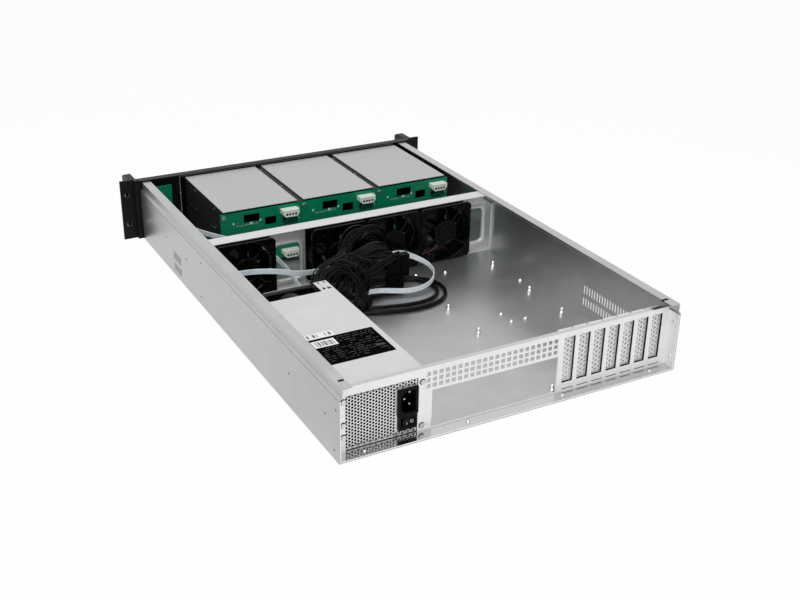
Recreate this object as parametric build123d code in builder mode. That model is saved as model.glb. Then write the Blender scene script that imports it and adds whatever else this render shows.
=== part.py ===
"""Two-unit rackmount server case with its lid off: folded tray, drive cage with nine
hot-swap trays, four-fan wall, power supply and slotted rear panel. Millimetres.
+X is the power supply side, +Y the rear, +Z up. The origin is at the middle of the
underside of the whole case, handles included."""

import math
import os

from build123d import *

# Whole case. Depths along Y are counted forward from the rear edge of the side walls.
case_width = 430.0
case_depth = 650.0
wall_height = 86.0
sheet = 1.2
joggle_height = 73.0
joggle_inset = 3.0
top_flange = 12.0
bend_radius = 2.0
fit_gap = 0.3

# Front panel, rack ears and their handles
panel_height = 88.0
panel_depth = 12.0
panel_sheet = 1.5
ear_width = 26.3
rack_hole_inset = 8.75
rack_hole_pitch = 44.45
rack_hole_radius = 3.5
ear_thickness = 3.0
ear_return_depth = 9.0
ear_return_width = 7.0
handle_reach = 33.0
handle_width = 10.0
handle_offset = 3.0
handle_bar = 12.0
handle_corner = 8.0

rear_y = (case_depth + panel_depth + handle_reach) / 2
front_y = rear_y - case_depth
panel_y = front_y - panel_depth
half_width = case_width / 2
inner_half = half_width - sheet
joggle_half = half_width - joggle_inset
floor_top = sheet

# Rear panel: a dished sheet, its sides and foot turned back to the rear, its top edge in
panel_recess = 15.0
rear_top = 76.5
rear_top_flange = 6.0
hook_setback = 18.0
hook_width = 4.0
hook_depth = 8.0
vent_hole = 5.0
vent_pitch_x = 7.6
vent_pitch_z = 7.0
vent_columns = 22
vent_rows = 3
vent_above_window = 3.3
io_width = 158.75
io_height = 44.45
io_sill = 3.8
io_from_supply = 4.8
slot_pitch = 20.32
slot_count = 7
slot_width = 14.3
slot_bottom = 13.5
slot_top = 70.0
slot_from_window = 7.4
tongue_bottom = 6.0
cover_width = 18.4
cover_tab = 11.0
cover_hole_width = 8.0
cover_hole_height = 48.0

# Side wall ventilation
side_slot_width = 2.2
side_slot_pitch = 5.2
side_slot_count = 18
side_slot_first = 174.0
side_slot_upper = (24.0, 35.5)
side_slot_lower = (8.0, 18.5)
far_slot_first = 509.0
far_slot_count = 6

# Drive cage: three columns of three bays
cage_depth = 155.0
cage_setback = 2.0
column_width = 107.6
column_gap = 9.4
column_count = 3
row_count = 3
row_pitch = 27.0
cage_sheet = 1.2
cage_left_from_wall = 64.6
ledge_width = 2.4
guide_slot_length = 110.0
guide_slot_height = 2.4
guide_slot_positions = (70.0,)

# Drive trays and their levers
bezel_height = 26.0
bezel_width = 115.6
bezel_depth = 14.0
bezel_front_wall = 2.0
tray_gap = 0.5
rail_sheet = 1.6
rail_height = 20.0
lever_depth = 6.0
lever_length = 92.0
lever_gap = 0.6
lever_height = 19.0

# Backplanes, one behind each column
board_thickness = 1.6
board_height = 78.0
board_joint = 0.4
window_wide = (23.0, 11.5)
window_narrow = (16.6, 11.5)
socket_width = 24.0
socket_height = 10.0
socket_inset = 6.9
socket_depth = 12.0

# Fan wall and its four fans
fan_wall_setback = 412.0
rail_depth = 20.0
fan_size = 80.0
fan_depth = 25.0
fan_pitch = 80.6
fan_bore = 76.0
fan_hub = 36.0
fan_strut = 4.0
rotor_hub = 34.0
rotor_reach = 35.4
blade_count = 7
blade_chord = 21.0
blade_thickness = 1.4
blade_pitch = 38.0
blade_root_share = 0.62
hub_sides = 8
bore_sides = 16
far_fan_from_wall = 79.5
near_fan_from_wall = 55.8
cable_window_width = 40.0
end_window_width = 30.0
cable_window_height = 54.0
cable_window_sill = 8.0
window_rim = 3.0

# Power supply
psu_width = 100.0
psu_height = 70.0
psu_length = 248.0
psu_from_wall = 8.3
psu_sheet = 0.8
cover_skirt = 9.0
psu_fan_size = 66.0
psu_fan_depth = 25.0
psu_fan_bore = 61.0
psu_fan_hub = 30.0
psu_rotor_hub = 28.0
psu_rotor_reach = 28.0
psu_opening_width = 83.0
psu_opening_top = 67.0
mesh_hole = 9.0
mesh_pitch_x = 14.0
mesh_pitch_z = 18.5
mesh_columns = 4
mesh_rows = 3
exit_from_side = 8.1
cable_exits = ((44.0, 9.0), (20.0, 6.5))
inlet_width = 24.0
inlet_height = 31.0
inlet_proud = 3.0
inlet_body = 22.0
switch_height = 17.0
rocker_width = 15.0
rocker_height = 9.0
rocker_tilt = 7.0

# Floor fastenings, board stand-offs on the standard board pattern
standoff_height = 6.5
standoff_across = 5.0
stud_height = 2.2
board_columns = (0.0, 157.48, 281.94)
board_rows = (0.0, 154.94, 227.33)
board_far_row = 317.5
board_first_row = 24.0
board_first_from_window = 3.0

# Front control board and its two buttons
control_from_wall = 7.0
control_width = 34.0
control_height = 40.0
control_top = 80.0
control_setback = 10.0
button_radius = 4.5
button_sides = 12
button_travel = 1.5
button_proud = 1.0

# Screws and rivets
screw_radius = 3.0
screw_head = 1.6
rivet_radius = 2.0
rivet_head = 0.8


def slab(x, y, z, mode=Mode.ADD):
    """A block between pairs of coordinates."""
    with Locations(((x[0] + x[1]) / 2, (y[0] + y[1]) / 2, (z[0] + z[1]) / 2)):
        Box(abs(x[1] - x[0]), abs(y[1] - y[0]), abs(z[1] - z[0]), mode=mode)


def section_at(y):
    """An upright plane across the case at depth y, seen from the front."""
    return Plane.XZ.offset(-y)


def save(builder, name):
    builder.part.label = name
    export_step(builder.part, f"parts/{name}.step")


os.makedirs("parts", exist_ok=True)

# Chassis tray: floor, two side walls and their turned-in top flanges, folded from one sheet
with BuildPart() as chassis_tray:
    with BuildSketch(section_at(rear_y)) as tray_section:
        with BuildLine():
            Polyline(
                (0, 0),
                (half_width, 0),
                (half_width, joggle_height),
                (joggle_half, joggle_height + joggle_inset),
                (joggle_half, wall_height),
                (joggle_half - top_flange, wall_height),
                (joggle_half - top_flange, wall_height - sheet),
                (joggle_half - sheet, wall_height - sheet),
                (joggle_half - sheet, joggle_height + joggle_inset - sheet / 2),
                (inner_half, joggle_height - sheet / 2),
                (inner_half, sheet),
                (0, sheet),
                close=True,
            )
        make_face()
        mirror(about=Plane.YZ)
    extrude(amount=case_depth)
    fillet(
        chassis_tray.edges().filter_by(Axis.Y).group_by(Axis.Z)[0].sort_by(Axis.X)[0::3],
        radius=bend_radius,
    )
    # A notch in each top flange behind, where the lid hooks in
    for side in (-1, 1):
        slab(
            (
                side * (joggle_half - top_flange - 1),
                side * (joggle_half - top_flange + hook_depth),
            ),
            (rear_y - hook_setback, rear_y - hook_setback + hook_width),
            (wall_height - 2 * sheet, wall_height + 1),
            mode=Mode.SUBTRACT,
        )
    # Ventilation slots through the far wall, two rows of upright slots
    for low, high in (side_slot_upper, side_slot_lower):
        with BuildSketch(Plane.YZ.offset(-half_width - 1)):
            mid_y = rear_y - side_slot_first + side_slot_pitch * (side_slot_count - 1) / 2
            with Locations((mid_y, (low + high) / 2)):
                with GridLocations(side_slot_pitch, 1, side_slot_count, 1):
                    Rectangle(side_slot_width, high - low)
        extrude(amount=3 * sheet, mode=Mode.SUBTRACT)
        with BuildSketch(Plane.YZ.offset(inner_half - sheet)):
            mid_y = rear_y - far_slot_first + side_slot_pitch * (far_slot_count - 1) / 2
            with Locations((mid_y, (low + high) / 2)):
                with GridLocations(side_slot_pitch, 1, far_slot_count, 1):
                    Rectangle(side_slot_width, high - low)
        extrude(amount=3 * sheet, mode=Mode.SUBTRACT)
save(chassis_tray, "chassis_tray")

# Places across the rear, chained from the power supply to the last slot
psu_outer = inner_half - psu_from_wall
psu_inner = psu_outer - psu_width
psu_rear = rear_y - panel_recess - sheet
psu_front = psu_rear - psu_length
psu_middle = (psu_outer + psu_inner) / 2
opening_middle = psu_middle + 3.6
window_left = psu_inner - io_from_supply
window_right = window_left - io_width
slot_first = window_right - slot_from_window - slot_width / 2
slot_places = [slot_first - slot_pitch * place for place in range(slot_count)]
panel_face = rear_y - panel_recess
vent_bottom = io_sill + io_height + vent_above_window

# Rear panel: face with its openings, foot and sides turned back, top edge turned in.
# Above the joggle of the walls it is narrower.
side_top = joggle_height - sheet
upper_half = joggle_half - sheet - fit_gap
with BuildPart() as rear_panel:
    with BuildSketch(section_at(panel_face)):
        with Locations((0, (floor_top + side_top) / 2)):
            Rectangle(2 * inner_half, side_top - floor_top)
        with Locations((0, (side_top + rear_top) / 2)):
            Rectangle(2 * upper_half, rear_top - side_top)
        with Locations((opening_middle, (floor_top + sheet + psu_opening_top) / 2)):
            Rectangle(
                psu_opening_width,
                psu_opening_top - floor_top - sheet,
                mode=Mode.SUBTRACT,
            )
        with Locations(((window_left + window_right) / 2, io_sill + io_height / 2)):
            Rectangle(io_width, io_height, mode=Mode.SUBTRACT)
        vent_middle = window_left + vent_hole - vent_pitch_x * (vent_columns - 1) / 2
        with Locations((vent_middle, vent_bottom + vent_hole / 2 + vent_pitch_z)):
            with GridLocations(vent_pitch_x, vent_pitch_z, vent_columns, vent_rows):
                Rectangle(vent_hole, vent_hole, mode=Mode.SUBTRACT)
        for slot_x in slot_places:
            with Locations((slot_x, (slot_bottom + slot_top) / 2)):
                Rectangle(slot_width, slot_top - slot_bottom, mode=Mode.SUBTRACT)
    extrude(amount=sheet)
    slab(
        (-upper_half, upper_half),
        (panel_face - rear_top_flange, panel_face),
        (rear_top - sheet, rear_top),
    )
    slab((-inner_half, inner_half), (panel_face, rear_y), (floor_top, floor_top + sheet))
    for side in (-1, 1):
        slab(
            (side * (inner_half - sheet), side * inner_half),
            (panel_face, rear_y),
            (floor_top, side_top),
        )
save(rear_panel, "rear_panel")

# Slot covers: perforated blanks behind the panel, a tongue below and a bent tab on top
cover_face = panel_face - sheet - fit_gap
with BuildPart() as slot_covers:
    for slot_x in slot_places:
        with BuildSketch(section_at(cover_face)):
            with Locations((slot_x, (slot_bottom + slot_top) / 2)):
                Rectangle(cover_width, slot_top - slot_bottom + 6)
                Rectangle(cover_hole_width, cover_hole_height, mode=Mode.SUBTRACT)
            with Locations((slot_x, (tongue_bottom + slot_bottom) / 2 - 1)):
                Rectangle(cover_width - 8, slot_bottom - tongue_bottom + 1)
        extrude(amount=sheet)
        slab(
            (slot_x - cover_width / 2, slot_x + cover_width / 2),
            (cover_face - cover_tab, cover_face),
            (slot_top + 3, slot_top + 3 + sheet),
        )
save(slot_covers, "slot_covers")

# Front panel: a shallow pan with one window for the drive bays and two button holes
cage_left = inner_half - cage_left_from_wall
column_pitch = column_width + column_gap
cage_right = cage_left - column_count * column_pitch + column_gap
cage_floor = floor_top
bay_bottom = cage_floor + cage_sheet
cage_top = bay_bottom + row_count * row_pitch
column_middles = [cage_left - column_width / 2 - column_pitch * c for c in range(column_count)]
control_middle = inner_half - control_from_wall - control_width / 2
control_y = front_y + control_setback
button_places = {
    "power_button": (control_middle + 8.0, control_top - 14.0),
    "reset_button": (control_middle - 8.0, control_top - 14.0),
}
bay_middle = (column_middles[0] + column_middles[-1]) / 2
bay_span = column_pitch * (column_count - 1) + bezel_width + 2 * tray_gap
with BuildPart() as front_panel:
    with BuildSketch(section_at(panel_y + panel_sheet)):
        with Locations((0, panel_height / 2)):
            Rectangle(case_width, panel_height)
        with Locations((bay_middle, bay_bottom + row_count * row_pitch / 2)):
            Rectangle(bay_span, row_count * row_pitch + tray_gap, mode=Mode.SUBTRACT)
        for place in button_places.values():
            with Locations(place):
                RegularPolygon(button_radius + fit_gap, button_sides, mode=Mode.SUBTRACT)
    extrude(amount=panel_sheet)
    for low in (0, panel_height - panel_sheet):
        slab((-half_width, half_width), (panel_y, front_y), (low, low + panel_sheet))
    for side in (-1, 1):
        slab(
            (side * (half_width - panel_sheet), side * half_width),
            (panel_y, front_y),
            (0, panel_height),
        )
    # Two hexagonal posts carry the control board
    for post_x in (control_middle - 12, control_middle + 12):
        with BuildSketch(section_at(control_y)):
            with Locations((post_x, control_top - control_height + 6)):
                RegularPolygon(2.5, 6)
        extrude(amount=control_y - panel_y - panel_sheet)
save(front_panel, "front_panel")

# Rack ears, each cast in one with its bow handle
for side, name in ((1, "ear_handle_left"), (-1, "ear_handle_right")):
    with BuildPart() as ear:
        with BuildSketch(section_at(panel_y + ear_thickness)):
            with Locations((side * (half_width + ear_width / 2), panel_height / 2)):
                Rectangle(ear_width, panel_height)
            for step in (-0.5, 0.5):
                hole_z = panel_height / 2 + step * rack_hole_pitch
                with Locations((side * (half_width + ear_width - rack_hole_inset), hole_z)):
                    Circle(rack_hole_radius, mode=Mode.SUBTRACT)
        extrude(amount=ear_thickness)
        slab(
            (side * half_width, side * (half_width + ear_return_width)),
            (panel_y, panel_y + ear_return_depth),
            (0, panel_height),
        )
        handle_x = side * (half_width + handle_offset)
        with BuildSketch(Plane.YZ.offset(handle_x)) as bow:
            with Locations((panel_y - handle_reach / 2, panel_height / 2)):
                Rectangle(handle_reach, panel_height)
                grip = Rectangle(
                    handle_reach - handle_bar,
                    panel_height - 2 * handle_bar,
                    mode=Mode.PRIVATE,
                )
            add(grip.moved(Location((handle_bar / 2, 0, 0))), mode=Mode.SUBTRACT)
        extrude(amount=side * handle_width)
        chamfer(
            ear.edges().filter_by(Axis.X).group_by(Axis.Y)[0],
            length=handle_corner,
            length2=handle_corner / 2,
        )
    save(ear, name)

# Drive cage: floor, the walls of three columns and the ledges that the trays run on
cage_front = front_y + cage_setback
cage_rear = cage_front + cage_depth
with BuildPart() as drive_cage:
    with BuildSketch(section_at(cage_rear)):
        with Locations(((cage_left + cage_right) / 2, cage_floor + cage_sheet / 2)):
            Rectangle(cage_left - cage_right, cage_sheet)
        for middle in column_middles:
            for side in (-1, 1):
                wall_x = middle + side * (column_width - cage_sheet) / 2
                with Locations((wall_x, (cage_floor + cage_top) / 2)):
                    Rectangle(cage_sheet, cage_top - cage_floor)
                for row in range(1, row_count):
                    ledge_x = wall_x - side * ledge_width / 2
                    with Locations((ledge_x, bay_bottom + row * row_pitch - cage_sheet / 2)):
                        Rectangle(ledge_width, cage_sheet)
        for middle in column_middles[:-1]:
            with Locations((middle - column_pitch / 2, cage_top - 1.5 * cage_sheet)):
                Rectangle(column_gap + 2 * cage_sheet, cage_sheet)
    extrude(amount=cage_depth)
    # Long stamped slots in both outer walls, two to a row
    with BuildSketch(Plane.YZ.offset(cage_right - 1)):
        for row in range(row_count):
            for place in guide_slot_positions:
                slot_z = bay_bottom + (row + 1) * row_pitch - 5
                with Locations((cage_front + place, slot_z)):
                    Rectangle(guide_slot_length, guide_slot_height)
    extrude(amount=3 * cage_sheet, mode=Mode.SUBTRACT)
    with BuildSketch(Plane.YZ.offset(cage_left + 1)):
        for row in range(row_count):
            for place in guide_slot_positions:
                slot_z = bay_bottom + (row + 1) * row_pitch - 5
                with Locations((cage_front + place, slot_z)):
                    Rectangle(guide_slot_length, guide_slot_height)
    extrude(amount=-3 * cage_sheet, mode=Mode.SUBTRACT)
save(drive_cage, "drive_cage")

# Cage tops: a bare steel plate over each column
for number, middle in enumerate(column_middles, 1):
    with BuildPart() as cage_top_plate:
        slab(
            (middle - column_width / 2, middle + column_width / 2),
            (cage_front, cage_rear),
            (cage_top, cage_top + cage_sheet),
        )
    save(cage_top_plate, f"cage_top_{number}")

# Drive trays: a deep bezel, two side rails and a cross bar behind; the lever lies in the bezel
bezel_front = panel_y - 2.0
bezel_back = bezel_front + bezel_depth
tray_half = column_width / 2 - cage_sheet - tray_gap
tray_end = cage_rear - 12
lever_back = bezel_front + lever_depth
recess_half = lever_length / 2 + lever_gap
pivot_reach = lever_depth / 2
number = 0
tray_names = []
for row in range(row_count):
    for middle in column_middles:
        number += 1
        low = bay_bottom + row * row_pitch + fit_gap
        with BuildPart() as tray:
            with BuildSketch(section_at(bezel_back)):
                with Locations((middle, low + bezel_height / 2)):
                    Rectangle(bezel_width, bezel_height)
            extrude(amount=bezel_depth)
            slab(
                (middle - recess_half, middle + recess_half),
                (bezel_front - 1, lever_back + lever_gap),
                (
                    low + (bezel_height - lever_height) / 2 - lever_gap,
                    low + (bezel_height + lever_height) / 2 + lever_gap,
                ),
                mode=Mode.SUBTRACT,
            )
            rail_low = low
            for side in (-1, 1):
                slab(
                    (middle + side * (tray_half - rail_sheet), middle + side * tray_half),
                    (bezel_back - 1, tray_end),
                    (rail_low, rail_low + rail_height),
                )
            slab(
                (middle - tray_half, middle + tray_half),
                (tray_end - rail_sheet, tray_end),
                (rail_low, rail_low + 8),
            )
            slab(
                (middle - tray_half, middle + tray_half),
                (bezel_back, bezel_back + 14),
                (rail_low, rail_low + rail_sheet),
            )
        save(tray, f"drive_tray_{number}")
        with BuildPart() as lever:
            with BuildSketch(Plane.XY.offset(low + (bezel_height - lever_height) / 2)):
                with BuildLine():
                    pivot_x = middle - lever_length / 2 + pivot_reach
                    tip_x = middle + lever_length / 2
                    middle_y = bezel_front + pivot_reach
                    back = Line((pivot_x, lever_back), (tip_x, lever_back))
                    tip = Line(back @ 1, (tip_x, bezel_front + 1))
                    chin = Line(tip @ 1, (tip_x - 4, bezel_front))
                    front = Line(chin @ 1, (pivot_x, bezel_front))
                    Polyline(
                        front @ 1,
                        (pivot_x - pivot_reach, middle_y - 1),
                        (pivot_x - pivot_reach, middle_y + 1),
                        back @ 0,
                    )
                make_face()
            extrude(amount=lever_height)
        save(lever, f"tray_lever_{number}")

# Backplanes: one upright board behind each column, with air windows
board_width = column_pitch - board_joint
board_low = bay_bottom + 1.0
board_face = cage_rear + board_thickness
socket_places = (board_low + 8.6, board_low + board_height - 9.4)
for number, middle in enumerate(column_middles, 1):
    with BuildPart() as backplane:
        with BuildSketch(section_at(board_face)):
            with Locations((middle, board_low + board_height / 2)):
                Rectangle(board_width, board_height)
            for drop in (0, row_pitch):
                window_z = board_low + board_height - 11.0 - drop
                with Locations((middle + 14.0, window_z)):
                    Rectangle(*window_wide, mode=Mode.SUBTRACT)
                with Locations((middle - 13.5, window_z - 8.0)):
                    Rectangle(*window_narrow, mode=Mode.SUBTRACT)
        extrude(amount=board_thickness)
    save(backplane, f"backplane_{number}")

# Power sockets: white four-pole shells on the backplanes, keyed at two corners
with BuildPart() as power_sockets:
    for middle in column_middles:
        for socket_z in socket_places:
            socket_x = middle - board_width / 2 + socket_width / 2 + socket_inset
            with BuildSketch(section_at(board_face + socket_depth)):
                with Locations((socket_x, socket_z)):
                    shell = Rectangle(socket_width, socket_height)
                    chamfer(shell.vertices().group_by(Axis.Y)[0], length=4.0)
            extrude(amount=socket_depth)
            slab(
                (socket_x - socket_width / 2 + 5, socket_x + socket_width / 2 - 5),
                (board_face + 3, board_face + socket_depth + 1),
                (socket_z - socket_height / 2 + 3, socket_z + socket_height / 2 - 3),
                mode=Mode.SUBTRACT,
            )
save(power_sockets, "power_sockets")

# Fan wall: a channel across the case, its flanges turned back round the fans
fan_wall_y = rear_y - fan_wall_setback
fan_places = [-inner_half + far_fan_from_wall + fan_pitch * place for place in range(3)]
fan_places.append(inner_half - near_fan_from_wall)
fan_places.reverse()
fan_bottom = floor_top + sheet
fan_middle_z = fan_bottom + fan_size / 2
rail_top = wall_height - sheet
rail_half = joggle_half - sheet
window_middle_z = cable_window_sill + cable_window_height / 2
between_fans = (fan_places[0] + fan_places[1]) / 2
end_window_x = -inner_half + 4.0 + end_window_width / 2
cable_windows = ((between_fans, cable_window_width), (end_window_x, end_window_width))
with BuildPart() as fan_wall:
    with BuildSketch(section_at(fan_wall_y)):
        with Locations((0, (floor_top + rail_top) / 2)):
            Rectangle(2 * rail_half, rail_top - floor_top)
        for fan_x in fan_places:
            with Locations((fan_x, fan_middle_z)):
                RegularPolygon(fan_bore / 2, 8, rotation=22.5, mode=Mode.SUBTRACT)
        for window_x, window_width in cable_windows:
            with Locations((window_x, window_middle_z)):
                Rectangle(window_width, cable_window_height, mode=Mode.SUBTRACT)
    extrude(amount=sheet)
    for window_x, window_width in cable_windows:
        with BuildSketch(section_at(fan_wall_y + window_rim)):
            with Locations((window_x, window_middle_z)):
                Rectangle(window_width + 2 * sheet, cable_window_height + 2 * sheet)
                Rectangle(window_width, cable_window_height, mode=Mode.SUBTRACT)
        extrude(amount=window_rim)
    rear_of_rail = fan_wall_y - sheet + rail_depth
    slab((-rail_half, rail_half), (fan_wall_y, rear_of_rail), (rail_top - sheet, rail_top))
    slab((-rail_half, rail_half), (fan_wall_y, rear_of_rail), (floor_top, floor_top + sheet))
    for side in (-1, 1):
        slab(
            (side * rail_half, side * inner_half),
            (fan_wall_y - sheet, rear_of_rail),
            (floor_top, joggle_height - 2),
        )
save(fan_wall, "fan_wall")


def fan_frame(fan_x, fan_z, back_y, size, bore, hub, depth):
    """Square fan housing seen from behind: bore, motor disc and four struts."""
    with BuildPart() as frame:
        with BuildSketch(section_at(back_y)):
            with Locations((fan_x, fan_z)):
                Rectangle(size, size)
                RegularPolygon(bore / 2, bore_sides, mode=Mode.SUBTRACT)
        extrude(amount=depth)
        with BuildSketch(section_at(back_y)):
            with Locations((fan_x, fan_z)):
                RegularPolygon(hub / 2, hub_sides)
                with PolarLocations((bore + hub) / 4, 4, start_angle=30):
                    Rectangle((bore - hub) / 2 + 3, fan_strut)
        extrude(amount=fan_strut)
    return frame


def fan_rotor(fan_x, fan_z, back_y, hub, reach, depth, chord):
    """Impeller: a cup with raked blades that widen towards the tip."""
    with BuildPart() as rotor:
        with BuildSketch(section_at(back_y)):
            with Locations((fan_x, fan_z)):
                RegularPolygon(hub / 2, hub_sides)
        extrude(amount=depth)
        mid_y = back_y - depth / 2
        blade = rotor_blade(hub / 2 - 2, reach, chord)
        for turn in range(blade_count):
            placed = blade.rotate(Axis.Y, turn * 360 / blade_count)
            add(placed.moved(Location((fan_x, mid_y, fan_z))))
    return rotor


def rotor_blade(root, tip, chord):
    """One blade standing along Z at the origin, raked and narrower at its root."""
    across = Vector(1, 0, 0).rotate(Axis.Z, blade_pitch)
    half_root = chord * blade_root_share / 2
    with BuildPart(mode=Mode.PRIVATE) as blade:
        normal = across.cross(Vector(0, 0, 1))
        with BuildSketch(Plane(origin=(0, 0, 0), x_dir=across, z_dir=normal)):
            with BuildLine():
                Polyline(
                    (-half_root, root),
                    (half_root, root),
                    (chord / 2, tip),
                    (-chord / 2, tip),
                    close=True,
                )
            make_face()
        extrude(amount=blade_thickness / 2, both=True)
    return blade.part


fan_back = fan_wall_y + fan_depth
for number, fan_x in enumerate(fan_places, 1):
    frame = fan_frame(fan_x, fan_middle_z, fan_back, fan_size, fan_bore, fan_hub, fan_depth)
    save(frame, f"fan_frame_{number}")
    rotor = fan_rotor(
        fan_x, fan_middle_z, fan_back - fan_strut - 0.5, rotor_hub, rotor_reach, 18.0, blade_chord
    )
    save(rotor, f"fan_rotor_{number}")

# Power supply: an open box with its perforated rear wall, and the cover that closes it
psu_top = floor_top + psu_height
case_left = psu_outer - psu_sheet
case_right = psu_inner + psu_sheet
wall_top = psu_top - psu_sheet
fan_wall_inside = psu_front + psu_sheet + psu_fan_depth
inlet_right = opening_middle - psu_opening_width / 2
inlet_middle = inlet_right + inlet_width / 2
inlet_z = 27.0 + inlet_height / 2
switch_z = 27.0 - switch_height / 2
exit_middle = case_right + exit_from_side
with BuildPart() as psu_case:
    slab((case_right, case_left), (psu_front, psu_rear), (floor_top, wall_top))
    slab(
        (case_right + psu_sheet, case_left - psu_sheet),
        (psu_front + psu_sheet, psu_rear - psu_sheet),
        (floor_top + psu_sheet, wall_top + 1),
        mode=Mode.SUBTRACT,
    )
    with BuildSketch(section_at(psu_rear + 1)):
        mesh_middle = case_left - 9.0 - mesh_pitch_x * (mesh_columns - 1) / 2
        with Locations((mesh_middle, floor_top + psu_height / 2)):
            with GridLocations(mesh_pitch_x, mesh_pitch_z, mesh_columns, mesh_rows):
                Rectangle(mesh_hole, mesh_hole, rotation=45)
        with Locations((inlet_middle, (inlet_z + switch_z) / 2 + 3)):
            Rectangle(inlet_width - 3, inlet_height + switch_height - 9)
    extrude(amount=2, mode=Mode.SUBTRACT)
    with BuildSketch(section_at(psu_front + 2)):
        with Locations((psu_middle, floor_top + psu_height / 2)):
            RegularPolygon(psu_fan_size / 2 - 3, 12)
        for exit_z, opening in cable_exits:
            with Locations((exit_middle, exit_z)):
                Rectangle(opening, opening)
    extrude(amount=4, mode=Mode.SUBTRACT)
save(psu_case, "psu_case")

with BuildPart() as psu_cover:
    slab((psu_inner, psu_outer), (fan_wall_inside, psu_rear), (wall_top, psu_top))
    slab((psu_inner, psu_inner + 17), (psu_front, fan_wall_inside), (wall_top, psu_top))
    for place in (5.0, 11.0):
        slab(
            (psu_inner + place, psu_inner + place + 2),
            (fan_wall_inside - 9, fan_wall_inside - 3),
            (wall_top - 1, psu_top + 1),
            mode=Mode.SUBTRACT,
        )
    for low, high in ((psu_inner, case_right), (case_left, psu_outer)):
        slab((low, high), (fan_wall_inside, psu_rear), (psu_top - cover_skirt, psu_top))
save(psu_cover, "psu_cover")

psu_fan_z = floor_top + psu_sheet + psu_fan_size / 2
psu_fan_back = fan_wall_inside
psu_fan_x = psu_middle
psu_fan = fan_frame(
    psu_fan_x, psu_fan_z, psu_fan_back, psu_fan_size, psu_fan_bore, psu_fan_hub, psu_fan_depth
)
save(psu_fan, "psu_fan_frame")
psu_rotor = fan_rotor(
    psu_fan_x, psu_fan_z, psu_fan_back - fan_strut - 0.5, psu_rotor_hub, psu_rotor_reach, 18.0, 17.0
)
save(psu_rotor, "psu_fan_rotor")

# Supply board: the printed board on its four feet, two heat sinks, transformer and capacitors
board_left = case_left - 5.0
board_right = case_right + 4.0
board_back = psu_rear - 30.0
board_front = fan_wall_inside + 14.0
board_z = floor_top + psu_sheet + 5.0
with BuildPart() as psu_board:
    slab((board_right, board_left), (board_front, board_back), (board_z, board_z + board_thickness))
    for foot_x in (board_right + 4, board_left - 4):
        for foot_y in (board_front + 4, board_back - 4):
            slab(
                (foot_x - 2, foot_x + 2),
                (foot_y - 2, foot_y + 2),
                (floor_top + psu_sheet, board_z),
            )
    sink_top = board_z + 42.0
    for sink_x in (board_right + 22, board_left - 22):
        slab((sink_x - 2, sink_x + 2), (board_front + 20, board_back - 25), (board_z, sink_top))
        slab(
            (sink_x - 9, sink_x + 9),
            (board_front + 20, board_back - 25),
            (sink_top - 3, sink_top),
        )
    core_x = (board_right + board_left) / 2
    slab((core_x - 14, core_x + 14), (board_front + 60, board_front + 92), (board_z, board_z + 30))
    with BuildSketch(Plane.XY.offset(board_z)):
        with Locations((core_x, board_back - 22)):
            RegularPolygon(10, 8)
    extrude(amount=28)
save(psu_board, "psu_board")

# Inlet and switch frame: one black moulding with the recessed mains socket and its three pins
rocker_pocket = (rocker_width + 1.0, rocker_height + 1.0)
with BuildPart() as psu_inlet:
    with BuildSketch(section_at(psu_rear + inlet_proud)):
        with Locations((inlet_middle, inlet_z)):
            Rectangle(inlet_width, inlet_height)
        with Locations((inlet_middle, switch_z)):
            Rectangle(inlet_width - 3, switch_height)
    extrude(amount=inlet_proud)
    with BuildSketch(section_at(psu_rear)):
        with Locations((inlet_middle, (inlet_z + switch_z) / 2 + 3)):
            Rectangle(inlet_width - 4, inlet_height + switch_height - 10)
    extrude(amount=inlet_body)
    with BuildSketch(section_at(psu_rear + inlet_proud + 1)):
        with Locations((inlet_middle, inlet_z)):
            socket = Rectangle(17, 25)
            chamfer(socket.vertices().group_by(Axis.X)[-1], length=4.5)
    extrude(amount=inlet_proud + 16, mode=Mode.SUBTRACT)
    with BuildSketch(section_at(psu_rear + inlet_proud + 1)):
        with Locations((inlet_middle, switch_z + 0.5)):
            Rectangle(*rocker_pocket)
    extrude(amount=inlet_proud + 7, mode=Mode.SUBTRACT)
    for pin_x, pin_z in ((-4, 7), (2, 0), (-4, -7)):
        slab(
            (inlet_middle + pin_x - 1, inlet_middle + pin_x + 1),
            (psu_rear - 16, psu_rear - 2.5),
            (inlet_z + pin_z - 2, inlet_z + pin_z + 2),
        )
save(psu_inlet, "psu_inlet")

# Rocker: a shallow roof-shaped key that tips about an upright axis, off at rest
rocker_y = psu_rear + 0.5
with BuildPart() as switch_rocker:
    with BuildSketch(Plane.XY.offset(switch_z + 0.5 - rocker_height / 2)):
        with BuildLine():
            Polyline(
                (-rocker_width / 2 + 0.4, -2.5),
                (rocker_width / 2 - 0.4, -2.5),
                (rocker_width / 2 - 0.4, 3.2),
                (0, 1.9),
                (-rocker_width / 2 + 0.4, 3.2),
                close=True,
            )
        make_face()
    extrude(amount=rocker_height)
rocker_turned = switch_rocker.part.rotate(Axis.Z, rocker_tilt)
switch_rocker.part = rocker_turned.moved(Location((inlet_middle, rocker_y, 0)))
save(switch_rocker, "switch_rocker")

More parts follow.
